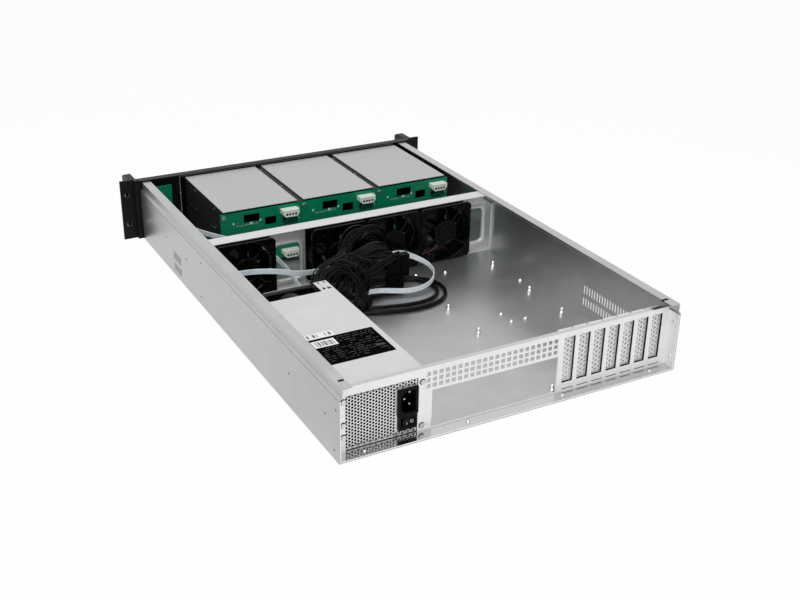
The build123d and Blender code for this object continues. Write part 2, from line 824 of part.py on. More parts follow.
# Stand-offs and clinched studs on the floor, on the standard board pattern
standoff_x = window_left - board_first_from_window
standoff_y = rear_y - board_first_row
stud_places = (
    (-113.0, 350.0),
    (-72.5, 359.0),
    (-190.7, 283.0),
    (-111.5, 208.0),
    (-112.5, 185.5),
    (-132.7, 184.7),
)
with BuildPart() as standoffs:
    with BuildSketch(Plane.XY.offset(floor_top)):
        for column in board_columns:
            for row in board_rows:
                with Locations((standoff_x - column, standoff_y - row)):
                    RegularPolygon(standoff_across / 2, 6, major_radius=False)
        with Locations((standoff_x - board_columns[-1], standoff_y - board_far_row)):
            RegularPolygon(standoff_across / 2, 6, major_radius=False)
    extrude(amount=standoff_height)
    with BuildSketch(Plane.XY.offset(floor_top)):
        for stud_x, stud_back in stud_places:
            with Locations((stud_x, rear_y - stud_back)):
                RegularPolygon(standoff_across / 2, 6, major_radius=False)
    extrude(amount=stud_height)
save(standoffs, "standoffs")

# Control board on the two posts behind the front panel, with its ribbon socket
ribbon_socket_x = control_middle - 2.0
with BuildPart() as control_board:
    board_y = control_y + board_thickness
    slab(
        (control_middle - control_width / 2, control_middle + control_width / 2),
        (control_y, board_y),
        (control_top - control_height, control_top),
    )
    slab(
        (control_middle + 4, control_middle + 14),
        (board_y, board_y + 8),
        (control_top - 12, control_top - 2),
    )
    slab(
        (ribbon_socket_x - 3, ribbon_socket_x + 3),
        (board_y, board_y + 7),
        (control_top - 37, control_top - 25),
    )
    for place_x, place_z in button_places.values():
        slab(
            (place_x - 3, place_x + 3),
            (control_y - 5, control_y),
            (place_z - 3, place_z + 3),
        )
save(control_board, "control_board")

# Buttons: round caps in the front panel on long stems, which reach their switches
for name, (place_x, place_z) in button_places.items():
    with BuildPart() as button:
        with BuildSketch(section_at(panel_y + panel_sheet + 3)):
            with Locations((place_x, place_z)):
                RegularPolygon(button_radius, button_sides)
        extrude(amount=panel_sheet + 3 + button_proud)
        with BuildSketch(section_at(control_y - 5 - button_travel - fit_gap)):
            with Locations((place_x, place_z)):
                Rectangle(3, 3)
        extrude(until=Until.NEXT)
    save(button, name)

def cord(points, section, name):
    """Sweep a section, drawn by a function, along a route of straight runs and tangent arcs."""
    corners = [Vector(*point) for point in points]
    radii = []
    for before, here, after in zip(corners, corners[1:], corners[2:]):
        turn = math.radians((here - before).get_angle(after - here))
        shorter = min((here - before).length, (after - here).length)
        radii.append(0.45 * shorter / math.tan(turn / 2))
    with BuildPart() as swept:
        with BuildLine():
            path = FilletPolyline(*corners, radius=radii)
        side = (path % 0).cross(Vector(0, 0, 1))
        with BuildSketch(Plane(path @ 0, x_dir=side, z_dir=path % 0)) as end:
            section()
        sweep(transition=Transition.RIGHT)
    share = swept.part.volume / (end.sketch.area * path.length)
    radii_text = " ".join(f"{radius:.0f}" for radius in radii)
    print(f"{name}: length {path.length:.0f}, volume share {share:.3f}, radii {radii_text}")
    return swept


# Main harness: a thick bundle out of the power supply that folds into a standing hank
main_route = (
    (exit_middle, psu_front, cable_exits[0][0]),
    (exit_middle, 60.0, cable_exits[0][0]),
    (96.0, 34.0, cable_exits[0][0]),
    (73.0, 20.0, cable_exits[0][0]),
    (52.0, 20.0, cable_exits[0][0]),
)
main_hank = (
    (52.0, 61.0),
    (40.0, 66.0),
    (8.0, 64.0),
    (-8.0, 52.0),
    (-16.0, 44.0),
    (-16.0, 12.0),
    (-6.0, 1.5),
    (40.0, 1.5),
    (52.0, 14.0),
)
main_lead = cord(main_route, lambda: Rectangle(14.0, 14.0), "harness_main")
with BuildPart() as harness_main:
    add(main_lead.part)
    with BuildSketch(section_at(32.0)):
        with BuildLine():
            Polyline(*main_hank, close=True)
        make_face()
    extrude(amount=26.0)
save(harness_main, "harness_main")

# Drive harness: a thinner bundle that passes under the first one to a hank against the fans
drive_route = (
    (exit_middle, psu_front, cable_exits[1][0]),
    (exit_middle, 60.0, cable_exits[1][0]),
    (98.0, 28.0, cable_exits[1][0]),
    (56.0, -26.0, cable_exits[1][0]),
    (30.0, -26.0, cable_exits[1][0]),
)
drive_hank = (
    (30.0, 60.0),
    (18.0, 75.0),
    (-6.0, 77.0),
    (-26.0, 66.0),
    (-34.0, 46.0),
    (-34.0, 6.0),
    (-28.0, 1.5),
    (22.0, 1.5),
    (30.0, 14.0),
)
drive_lead = cord(drive_route, lambda: Rectangle(10.0, 10.0), "harness_drive")
with BuildPart() as harness_drive:
    add(drive_lead.part)
    with BuildSketch(section_at(-18.0)):
        with BuildLine():
            Polyline(*drive_hank, close=True)
        make_face()
    extrude(amount=16.0)
save(harness_drive, "harness_drive")

# Long ribbon: from a clip on the side wall, between the two hanks and back along the floor
ribbon_route = (
    (205.0, -14.0, 54.0),
    (186.0, -14.0, 54.0),
    (108.0, 6.0, 54.0),
    (68.0, -7.0, 54.0),
    (14.0, -7.0, 54.0),
    (-50.0, -19.0, 38.0),
    (-76.0, -22.0, 25.0),
    (-91.0, -2.0, 18.0),
    (-87.0, 22.0, 14.5),
    (-65.0, 37.0, 10.0),
    (-34.0, 39.5, 6.0),
    (22.0, 39.5, 6.0),
)
ribbon_long = cord(ribbon_route, lambda: Rectangle(1.4, 8.0), "ribbon_long")
save(ribbon_long, "ribbon_long")

# Panel ribbon: from the control board along the wall and through the first cable window
panel_route = (
    (ribbon_socket_x, control_y + board_thickness + 7.0, 49.0),
    (ribbon_socket_x, -250.0, 49.0),
    (184.0, -193.0, 49.0),
    (160.0, -137.0, 49.0),
    (118.0, -88.0, 49.0),
    (99.0, -51.0, 31.0),
    (93.0, -31.0, 14.0),
    (90.0, -17.0, 6.5),
    (90.0, -3.0, 6.5),
)
ribbon_panel = cord(panel_route, lambda: Rectangle(1.4, 8.0), "ribbon_panel")
save(ribbon_panel, "ribbon_panel")

# Floor cable: a round lead whose two flat loops lie on the floor beside the hank
floor_level = 4.0
floor_route = (
    (110.0, psu_front, floor_level),
    (110.0, 69.0, floor_level),
    (94.0, 56.5, floor_level),
    (72.0, 56.5, floor_level),
)
loop_outside = (
    (72.0, 62.0),
    (48.0, 62.0),
    (15.0, 77.0),
    (-30.0, 86.0),
    (-70.0, 75.0),
    (-90.0, 46.0),
    (-87.0, 10.0),
    (-62.0, -13.0),
    (-10.0, -15.5),
    (40.0, -9.0),
    (72.0, 8.0),
)
loop_inside = (
    (62.0, 32.0),
    (50.0, 44.0),
    (12.0, 56.5),
    (-30.0, 65.0),
    (-62.0, 57.0),
    (-76.0, 34.0),
    (-70.0, 10.0),
    (-54.0, 1.5),
    (-44.0, 1.5),
    (-44.0, -8.0),
    (38.0, -3.0),
    (60.0, 14.0),
)
floor_lead = cord(floor_route, lambda: Rectangle(4.6, 4.6), "floor_cable")
with BuildPart() as floor_cable:
    add(floor_lead.part)
    with BuildSketch(Plane.XY.offset(floor_level - 2.3)):
        with BuildLine():
            Polyline(*loop_outside, close=True)
        make_face()
        with BuildLine():
            Polyline(*loop_inside, close=True)
        make_face(mode=Mode.SUBTRACT)
    extrude(amount=4.6)
save(floor_cable, "floor_cable")

# Plugs on the cord ends and the wall clip, one node
with BuildPart() as cable_plugs:
    slab((-40, -16), (14, 24), (1.5, 53.5))
    slab((-52, -34), (-33, -23), (8, 24))
    slab((205, inner_half), (-20, -8), (49, 61))
    slab((22, 34), (36, 43), (1.5, 11))
    slab((84, 96), (-3, 9), (1.5, 11.5))
    slab((-44, -30), (-7, 1), (1.5, 9))
save(cable_plugs, "cable_plugs")

# Rivets through the rear lip, and the screws of the power supply, side walls and backplanes
with BuildPart() as rivets:
    for rivet_x in (183.0, 60.0, -62.5, -185.4):
        with BuildSketch(Plane.XY.offset(floor_top + sheet)):
            with Locations((rivet_x, rear_y - panel_recess / 2)):
                RegularPolygon(rivet_radius, 6)
        extrude(amount=rivet_head)
save(rivets, "rivets")

psu_screw_places = (
    (psu_outer - 2.5, 61.0),
    (psu_outer - 2.5, 34.0),
    (psu_outer - 2.5, 20.0),
    (psu_inner + 7.0, 61.0),
    (psu_inner + 7.0, 9.1),
)
with BuildPart() as screws:
    for screw_x, screw_z in psu_screw_places:
        with BuildSketch(section_at(panel_face + screw_head)):
            with Locations((screw_x, screw_z)):
                RegularPolygon(screw_radius, 6)
        extrude(amount=screw_head)
    for middle in column_middles:
        for screw_z in (board_low + 30.0, board_low + board_height - 5.0):
            with BuildSketch(section_at(board_face + screw_head)):
                with Locations((middle + board_width / 2 - 4.5, screw_z)):
                    RegularPolygon(screw_radius, 6)
            extrude(amount=screw_head)
save(screws, "screws")
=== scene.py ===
import math

import bpy
import numpy as np
from mathutils import Matrix, Vector


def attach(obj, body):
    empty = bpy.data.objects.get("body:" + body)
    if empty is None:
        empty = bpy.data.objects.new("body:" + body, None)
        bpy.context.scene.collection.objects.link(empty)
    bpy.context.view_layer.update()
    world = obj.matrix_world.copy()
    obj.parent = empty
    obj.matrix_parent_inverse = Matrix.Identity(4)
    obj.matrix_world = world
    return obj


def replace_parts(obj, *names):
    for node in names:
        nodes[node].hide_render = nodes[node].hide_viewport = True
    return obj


# An empty two-unit rackmount server case with its lid off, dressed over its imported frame.
# Metres. +X is the power supply side, +Y the rear and +Z up, as in the frame.
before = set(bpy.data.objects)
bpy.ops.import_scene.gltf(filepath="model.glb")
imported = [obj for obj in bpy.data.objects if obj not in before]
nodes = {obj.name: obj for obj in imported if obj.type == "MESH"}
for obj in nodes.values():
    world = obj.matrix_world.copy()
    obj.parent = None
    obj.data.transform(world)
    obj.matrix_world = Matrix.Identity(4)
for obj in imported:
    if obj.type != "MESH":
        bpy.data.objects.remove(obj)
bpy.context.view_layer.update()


# Camera: it looks down on the rear corner of the power supply side.
# The case is photographed from about a metre and a half away, turned a degree out of level.
def placed(name, data):
    """A new object in the scene, at the origin."""
    made = bpy.data.objects.new(name, data)
    bpy.context.scene.collection.objects.link(made)
    return made


azimuth, elevation, roll = (math.radians(angle) for angle in (151.27, 25.58, 0.97))
back = Vector(
    (
        math.sin(azimuth) * math.cos(elevation),
        -math.cos(azimuth) * math.cos(elevation),
        math.sin(elevation),
    )
)
level = (-back).cross(Vector((0, 0, 1))).normalized()
upright = level.cross(-back)
across_frame = math.cos(roll) * level + math.sin(roll) * upright
up_frame = math.cos(roll) * upright - math.sin(roll) * level
lens = bpy.data.cameras.new("camera")
lens.lens = 51.47
lens.sensor_width = 36.0
lens.shift_x = 0.00225
lens.shift_y = -0.0054
lens.clip_start = 0.05
camera = placed("camera", lens)
standpoint = Matrix.Translation((0.6258, 1.2135, 0.6463))
camera.matrix_world = standpoint @ (Matrix((across_frame, up_frame, back)).transposed().to_4x4())
bpy.context.scene.camera = camera
bpy.context.scene.view_settings.view_transform = "Standard"


# Studio: a white paper floor that keeps a faint shadow, a large soft lamp over the case
# and a plain white room, as for a shop photograph.
def nodes_of(owner, output="ShaderNodeOutputMaterial"):
    """The emptied node tree of a material or world, and its output."""
    owner.use_nodes = True
    tree = owner.node_tree
    tree.nodes.clear()
    return tree, tree.nodes.new(output)


def added(tree, kind, values=None, **settings):
    """A node of a kind, with its properties and then its input sockets set."""
    node = tree.nodes.new("ShaderNode" + kind)
    for setting, value in settings.items():
        setattr(node, setting, value)
    for socket, value in (values or {}).items():
        node.inputs[socket].default_value = value
    return node


def linked(tree, *pairs):
    """Joins an output to an input, pair by pair."""
    for start, end in pairs:
        tree.links.new(start, end)


def seen_directly(tree):
    """1 for rays that show the background: camera, mirror and see-through rays."""
    path = added(tree, "LightPath")
    highest = path.outputs["Is Camera Ray"]
    for ray in ("Is Glossy Ray", "Is Transmission Ray"):
        larger = added(tree, "Math", operation="MAXIMUM")
        linked(tree, (highest, larger.inputs[0]), (path.outputs[ray], larger.inputs[1]))
        highest = larger.outputs[0]
    return highest


def mixed(tree, out, lit, shown, share):
    """Puts out what the lamps light, mixed by the share with what the background shows."""
    both = added(tree, "MixShader")
    linked(
        tree,
        (share, both.inputs[0]),
        (lit.outputs[0], both.inputs[1]),
        (shown.outputs[0], both.inputs[2]),
        (both.outputs[0], out.inputs["Surface"]),
    )


paper = bpy.data.materials.new("white_paper")
tree, out = nodes_of(paper)
share = added(tree, "Math", {1: 0.95}, operation="MULTIPLY")
linked(tree, (seen_directly(tree), share.inputs[0]))
matt = added(tree, "BsdfDiffuse", {"Color": (0.92, 0.92, 0.92, 1)})
mixed(tree, out, matt, added(tree, "Emission"), share.outputs[0])

paper_z = -0.0006
floor_mesh = bpy.data.meshes.new("floor")
floor_mesh.from_pydata(
    [(-6, -6, paper_z), (6, -6, paper_z), (6, 6, paper_z), (-6, 6, paper_z)], [], [(0, 1, 2, 3)]
)
floor_mesh.materials.append(paper)
placed("floor", floor_mesh)

room = bpy.data.worlds.new("room")
bpy.context.scene.world = room
tree, out = nodes_of(room, "ShaderNodeOutputWorld")
dim, bright = [
    added(tree, "Background", {"Color": (1, 1, 1, 1), "Strength": strength})
    for strength in (0.34, 1.0)
]
mixed(tree, out, dim, bright, seen_directly(tree))

lamp_aim = Vector((0, 0, 0.05))
for lamp_name, place, watts, size in (
    ("soft_box", (0.35, 0.25, 1.9), 21.0, 1.3),
    ("rear_sheet", (0.75, 2.1, 1.15), 15.0, 1.1),
):
    lamp = bpy.data.lights.new(lamp_name, "AREA")
    lamp.energy = watts
    lamp.size = size
    holder = placed(lamp_name, lamp)
    holder.location = place
    holder.rotation_euler = (lamp_aim - holder.location).to_track_quat("-Z", "Y").to_euler()


# Cable harnesses: bundles of black sleeved wires that leave the supply, fold into two hanks
# against the fans and end in black plugs. They are drawn as loose strands on their routes.
def finish(name, colour, rough, metal=0.0, grain=60.0, tint=0.06, bump=0.05, gloss=0.5):
    """A surface whose colour and roughness drift with noise, with a fine bump on top."""
    material = bpy.data.materials.new(name)
    tree, out = nodes_of(material)
    shader = added(tree, "BsdfPrincipled", {"Metallic": metal, "Specular IOR Level": gloss})
    where = added(tree, "TexCoord")
    drift = added(tree, "TexNoise", {"Scale": grain, "Detail": 4.0})
    fine = added(tree, "TexNoise", {"Scale": grain * 14, "Detail": 2.0})
    shade = added(tree, "ValToRGB")
    for stop, place, share in zip(shade.color_ramp.elements, (0.3, 0.7), (1 - tint, 1 + tint)):
        stop.position = place
        stop.color = (*[min(1.0, part * share) for part in colour], 1)
    sheen = added(tree, "MapRange", {"To Min": rough * 0.85, "To Max": min(1.0, rough * 1.15)})
    relief = added(tree, "Bump", {"Strength": bump, "Distance": 0.0003})
    linked(
        tree,
        (where.outputs["Object"], drift.inputs["Vector"]),
        (where.outputs["Object"], fine.inputs["Vector"]),
        (drift.outputs["Fac"], shade.inputs["Fac"]),
        (drift.outputs["Fac"], sheen.inputs["Value"]),
        (shade.outputs["Color"], shader.inputs["Base Color"]),
        (sheen.outputs["Result"], shader.inputs["Roughness"]),
        (fine.outputs["Fac"], relief.inputs["Height"]),
        (relief.outputs["Normal"], shader.inputs["Normal"]),
        (shader.outputs["BSDF"], out.inputs["Surface"]),
    )
    return material


def laid_line(route, count):
    """Points of a cord's line: the order 3 NURBS spline of its route, spaced evenly."""
    curve = bpy.data.curves.new("line", "CURVE")
    curve.dimensions = "3D"
    curve.resolution_u = 16
    spline = curve.splines.new("NURBS")
    spline.points.add(len(route) - 1)
    spline.points.foreach_set("co", np.c_[route, np.ones(len(route))].ravel())
    spline.order_u = 3
    spline.use_endpoint_u = True
    holder = bpy.data.objects.new("line", curve)
    mesh = bpy.data.meshes.new_from_object(holder)
    read = np.empty(len(mesh.vertices) * 3)
    mesh.vertices.foreach_get("co", read)
    read = read.reshape(-1, 3)
    bpy.data.objects.remove(holder)
    bpy.data.curves.remove(curve)
    bpy.data.meshes.remove(mesh)
    steps = np.r_[0, np.cumsum(np.linalg.norm(np.diff(read, axis=0), axis=1))]
    at = np.linspace(0, steps[-1], count)
    return np.stack([np.interp(at, steps, read[:, axis]) for axis in range(3)], axis=1)


def moving_axes(line, reference=(0, 0, 1)):
    """Two unit axes square to the line: across it, and as near to the reference as can be."""
    along = np.gradient(line, axis=0)
    along /= np.linalg.norm(along, axis=1, keepdims=True)
    across = np.cross(np.asarray(reference, float), along)
    across /= np.linalg.norm(across, axis=1, keepdims=True)
    return across, np.cross(along, across)


def grid_quads(rows, columns, around=False, closed_rows=False):
    """Quads between neighbouring rows and columns of a grid; around joins the last column
    to the first, and closed_rows the last row to the first."""
    a = np.arange(rows if closed_rows else rows - 1)[:, None]
    b = np.arange(columns if around else columns - 1)[None, :]
    next_a, next_b = (a + 1) % rows, (b + 1) % columns
    here, there = a * columns, next_a * columns
    corners = (here + b, here + next_b, there + next_b, there + b)
    return np.stack([np.broadcast_to(c, (a.size, b.size)) for c in corners], axis=-1).reshape(-1, 4)


def joined(parts):
    """One set of points and faces from several, each part's faces counted on from the last."""
    points = np.concatenate([part[0] for part in parts])
    faces, start = [], 0
    for own_points, own_faces in parts:
        if isinstance(own_faces, np.ndarray):
            faces += (own_faces + start).tolist()
        else:
            faces += [[corner + start for corner in face] for face in own_faces]
        start += len(own_points)
    return points, faces


def capped(rings):
    """A skin through rings of equally many points, with a flat face at each end."""
    rows, columns = rings.shape[:2]
    last = (rows - 1) * columns
    ends = [list(range(columns))[::-1], list(range(last, last + columns))]
    return rings.reshape(-1, 3), grid_quads(rows, columns, around=True).tolist() + ends


def rod(line, radius, sides, reference=(0, 0, 1)):
    """A round rod: a circle carried square along the line, with flat ends."""
    across, upward = moving_axes(line, reference)
    turn = np.linspace(0, 2 * math.pi, sides, endpoint=False)[None, :, None]
    ring = np.cos(turn) * across[:, None] + np.sin(turn) * upward[:, None]
    return capped(line[:, None] + radius * ring)


def modified(made, kind, **settings):
    """Adds a modifier of a kind with its settings."""
    modifier = made.modifiers.new(kind.lower(), kind)
    for setting, value in settings.items():
        setattr(modifier, setting, value)
    return made


def piece(name, shape, material, body="case", smooth=True, bevel=0.0):
    """A mesh object in place on its body, with its finish."""
    points, faces = shape
    mesh = bpy.data.meshes.new(name)
    mesh.from_pydata(np.asarray(points).tolist(), [], [list(face) for face in faces])
    mesh.materials.append(material)
    mesh.polygons.foreach_set("use_smooth", [smooth] * len(mesh.polygons))
    mesh.update()
    made = placed(name, mesh)
    if bevel:
        modified(made, "BEVEL", width=bevel, segments=2, limit_method="ANGLE")
    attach(made, body)
    return made


mm, wire_radius = 0.001, 0.0009
black_wire = finish(
    "black_wire", (0.003, 0.003, 0.0035), 0.1, grain=220.0, tint=0.3, bump=0.1, gloss=0.14
)


def strands(line, count, spread, seed):
    """A bundle: rods that keep to their own places in a disc round the line and wander slowly."""
    chance = np.random.default_rng(seed)
    across, upward = moving_axes(line)
    along = np.linspace(0, 1, len(line))
    golden_angle, waves = 2.39996, 1.5
    reach = spread * np.sqrt((np.arange(count) + 0.5) / count)
    start = np.arange(count) * golden_angle + chance.uniform(0, 0.4, count)
    rods = []
    for own_reach, own_start, phase in zip(reach, start, chance.uniform(0, 6.28, count)):
        turn = own_start + 0.5 * np.sin(waves * 2 * math.pi * along + phase)
        far = own_reach * (1 + 0.12 * np.sin(2 * math.pi * along * waves + 2 * phase))
        sideways = (far * np.cos(turn))[:, None] * across
        own = line + sideways + (far * np.sin(turn))[:, None] * upward
        rods.append(rod(own, wire_radius, 6))
    return joined(rods)


def wires(name, routes, material=black_wire, radius=wire_radius):
    """Loose wires as one curve object, each a smooth NURBS spline through its own route."""
    curve = bpy.data.curves.new(name, "CURVE")
    curve.dimensions = "3D"
    curve.resolution_u = 5
    curve.bevel_depth = radius
    curve.bevel_resolution = 1
    curve.use_fill_caps = True
    for route in routes:
        spline = curve.splines.new("NURBS")
        spline.points.add(len(route) - 1)
        spline.points.foreach_set("co", np.c_[route, np.ones(len(route))].ravel())
        spline.order_u = 4
        spline.use_endpoint_u = True
    curve.materials.append(material)
    made = placed(name, curve)
    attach(made, "case")
    return made


def between(first, second, count, jitter, seed, drift=0.0):
    """Routes blended between two edge routes at uneven shares. Each share drifts along its
    wire, so that wires cross, every point but the first is shaken a little, and none goes
    under the floor."""
    chance = np.random.default_rng(seed)
    first, second = np.asarray(first, float), np.asarray(second, float)
    along = np.linspace(0, 1, len(first))[:, None]
    past_edge, floor_top = 0.06, 2.4
    routes = []
    for share in np.sort(chance.uniform(0, 1, count)):
        own = np.clip(share + drift * chance.normal() * along, -past_edge, 1 + past_edge)
        shake = chance.normal(0, jitter, first.shape)
        shake[0] *= 0.2
        laid = first * (1 - own) + second * own + shake
        laid[:, 2] = np.maximum(laid[:, 2], floor_top)
        routes.append(laid * mm)
    return routes


def loops(centre, radii, start, sweep, squash, depth, tilt, points, seed):
    """Turns of a hank seen from behind: part circles round a centre, each a little off it.
    A turn's point at angle a is the centre + r (cos a, 0, squash sin a), set back by depth."""
    chance = np.random.default_rng(seed)
    routes = []
    for number, radius in enumerate(radii):
        angle = np.radians(start + chance.uniform(-14, 14) + np.linspace(0, sweep, points))
        own = radius * (1 + chance.uniform(-0.07, 0.07) + 0.05 * np.sin(2 * angle + number))
        middle = np.asarray(centre) + chance.normal(0, 0.9, 3)
        x = middle[0] + own * np.cos(angle)
        z = middle[2] + own * squash * np.sin(angle)
        set_back = depth * (chance.uniform(-1, 1) + 0.3 * np.sin(angle))
        y = middle[1] + set_back + tilt * (x - middle[0])
        routes.append(np.stack([x, y, z], axis=1) * mm)
    return routes


main_route = mm * np.array([
    (114.4, 83.3, 44), (114.4, 60, 44), (96, 34, 46), (73, 20, 48), (52, 20, 48),
])
main_line = laid_line(main_route, 30)
main_strands = strands(main_line, 22, 0.0064, seed=1)
main_lead = piece("main_harness", main_strands, black_wire)
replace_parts(main_lead, "harness_main")
cascade_routes = (
    between(
        [
            (114.4, 82.5, 46), (117, 68, 50), (109, 45, 60), (94, 27, 66), (76, 20, 69),
            (58, 17, 71), (46, 12, 68), (34, 4, 60),
        ],
        [
            (113.0, 82.5, 41), (90, 88, 26), (60, 80, 13), (39, 60, 6), (42, 55, 25), (43, 40, 47),
            (40, 23, 63), (27, 0, 54),
        ],
        46, 1.7, seed=2, drift=0.05,
    )
    + between(
        [
            (114.4, 82.5, 46), (112, 60, 62), (98, 44, 72), (76, 36, 76), (54, 34, 70),
            (38, 40, 48), (34, 46, 24), (36, 44, 8),
        ],
        [
            (113.0, 82.5, 41), (98, 66, 52), (82, 54, 60), (66, 48, 58), (54, 48, 48),
            (46, 52, 34), (42, 56, 20), (40, 58, 6),
        ],
        16, 2.0, seed=12, drift=0.2,
    )
    + between(
        [(46, 30, 60), (39, 38, 48), (33, 44, 30), (30, 47, 14), (28, 49, 2)],
        [(54, 40, 52), (47, 50, 40), (41, 52, 26), (37, 54, 12), (34, 55, 2)],
        20, 1.2, seed=18, drift=0.1,
    )
)
cascade = wires("main_harness_cascade", cascade_routes)
turn_routes = (
    loops((31, 24, 45), np.linspace(6, 21, 14), 200, -330, 0.86, 6.0, 0.1, 11, seed=3)
    + loops((37, 41, 56), np.linspace(4, 10, 7), 70, -280, 0.8, 3.0, 0.1, 9, seed=13)
    + between(
        [
            (88, 38, 66), (70, 40, 78), (53, 40, 81), (35, 40, 73), (24, 40, 55), (22, 40, 33),
            (24, 36, 14),
        ],
        [
            (84, 36, 66), (68, 39, 76), (52, 40, 79), (37, 41, 71), (27, 40, 54), (25, 39, 34),
            (28, 36, 14),
        ],
        3, 0.6, seed=14,
    )
)
lower_turns = wires("main_harness_turns", turn_routes)
tail_routes = (
    between(
        [(45, 8, 60), (34, 12, 62), (20, 17, 58), (4, 19, 52), (-10, 19, 50), (-26, 19, 48)],
        [(47, 28, 10), (36, 30, 7), (22, 29, 5), (6, 26, 5), (-2, 25, 6), (-14, 22, 8)],
        44, 2.2, seed=4, drift=0.3,
    )
    + between(
        [(44, 18, 66), (30, 16, 70), (14, 8, 72), (0, 0, 70), (-14, -6, 66), (-24, -8, 58)],
        [(44, 24, 58), (30, 22, 60), (14, 14, 62), (0, 6, 60), (-14, 0, 57), (-24, -2, 50)],
        14, 0.9, seed=15, drift=0.1,
    )
    + between(
        [(30, 34, 46), (18, 30, 48), (6, 27, 51), (-8, 25, 55), (-20, 22, 58), (-30, 18, 56)],
        [(30, 36, 36), (18, 32, 38), (6, 29, 42), (-8, 27, 47), (-20, 24, 51), (-30, 20, 50)],
        10, 0.9, seed=16, drift=0.1,
    )
    + between(
        [(44, 14, 64), (30, 10, 62), (14, 5, 60), (0, 1, 57), (-14, 0, 55), (-26, 3, 54)],
        [(44, 20, 54), (30, 17, 51), (14, 13, 48), (0, 9, 46), (-14, 7, 46), (-26, 9, 47)],
        18, 0.8, seed=19, drift=0.1,
    )
)
tails = wires("main_harness_tails", tail_routes)

drive_route = mm * np.array([
    (114.4, 83.3, 20), (114.4, 60, 20), (98, 28, 21), (56, -26, 22), (30, -26, 24),
])
drive_line = laid_line(drive_route, 40)
drive_strands = strands(drive_line, 14, 0.0044, seed=5)
drive_lead = piece("drive_harness", drive_strands, black_wire)
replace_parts(drive_lead, "harness_drive")
arch_routes = loops((-9, -26, 60), np.linspace(4, 22, 20), 235, -300, 0.95, 5.0, 0.0, 11, seed=6)
arches = wires("drive_harness_arches", arch_routes)
rise_routes = between(
    [
        (44, -6, 40), (43, -20, 52), (34, -26, 72), (20, -27, 83), (2, -27, 83), (-18, -26, 73),
        (-27, -25, 58),
    ],
    [
        (48, -2, 46), (34, -14, 48), (20, -22, 54), (10, -26, 64), (-2, -27, 72), (-12, -26, 66),
        (-14, -25, 52),
    ],
    22, 0.9, seed=7, drift=0.06,
)
rise = wires("drive_harness_rise", rise_routes)
foot_routes = between(
    [(50, 0, 52), (36, -8, 52), (18, -14, 54), (0, -20, 52), (-16, -24, 44), (-26, -27, 36)],
    [(30, -26, 24), (22, -20, 12), (8, -16, 8), (-6, -20, 8), (-20, -26, 14), (-32, -28, 18)],
    26, 2.0, seed=8, drift=0.2,
)
feet = wires("drive_harness_feet", foot_routes)


# Plugs of the cords: black moulded housings with ribbed sides and a latch, and small
# headers. The wires are crimped into them from behind.
def boxes(spans):
    """Blocks between pairs of coordinates, their corners and faces worked out together."""
    spans = np.sort(np.asarray(spans, float).reshape(-1, 3, 2), axis=2)
    pick = np.array(
        [[0, 0, 0], [1, 0, 0], [1, 1, 0], [0, 1, 0], [0, 0, 1], [1, 0, 1], [1, 1, 1], [0, 1, 1]]
    )
    points = spans[:, np.arange(3)[None, :], pick].reshape(-1, 3)
    six = np.array(
        [[0, 3, 2, 1], [4, 5, 6, 7], [0, 1, 5, 4], [1, 2, 6, 5], [2, 3, 7, 6], [3, 0, 4, 7]]
    )
    faces = (six[None] + 8 * np.arange(len(spans))[:, None, None]).reshape(-1, 4)
    return points, faces


def blocks(name, spans, material, bevel=0.0):
    """A piece on the case made of flat-sided blocks."""
    return piece(name, boxes(spans), material, smooth=False, bevel=bevel)


black_shell_and_painted_shade = finish(
    "black_shell_and_painted_shade", (0.003, 0.003, 0.0035), 0.3, grain=160.0, tint=0.3, bump=0.05, gloss=0.05
)
shell_edge = 0.0005
shells = [
    ((-42, -24), (14, 24), (23, 54)),
    ((-24, -10), (16, 25), (30, 44)),
    ((-33, -11), (17, 27), (3, 27)),
    ((-52, -34), (-33, -23), (8, 24)),
]
ribs = [((-43, -42), (15, 23), (z, z + 2.6)) for z in np.arange(25, 52, 4.0)]
ribs += [((x, x + 2.4), (27, 28), (5, 24)) for x in np.arange(-31, -13, 3.8)]
ribs += [((-37, -29), (24, 26), (33, 46)), ((-21, -13), (25, 26.5), (32, 42))]
plugs = blocks("cord_plugs", np.array(shells + ribs) * mm, black_shell_and_painted_shade, shell_edge)
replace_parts(plugs, "cable_plugs")
small_plugs = {}
for plug_name, spans in (
    ("floor_plug", [((-44, -30), (-7, 1), (1.5, 9)), ((-41, -33), (-6.2, 0.2), (9, 9.8))]),
    ("panel_header", [((84, 96), (-3, 9), (1.5, 11.5)), ((85.5, 94.5), (-1.5, 7.5), (11.5, 12.3))]),
    ("long_header", [((22, 34), (36, 43), (1.5, 11)), ((24, 32), (35, 36), (3, 9.5))]),
    ("wall_clip", [((205, 213.8), (-20, -8), (49, 61)), ((203.5, 205), (-18, -10), (50, 60))]),
):
    small_plugs[plug_name] = blocks(
        plug_name, np.array(spans) * mm, black_shell_and_painted_shade, shell_edge
    )
    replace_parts(small_plugs[plug_name], "cable_plugs")

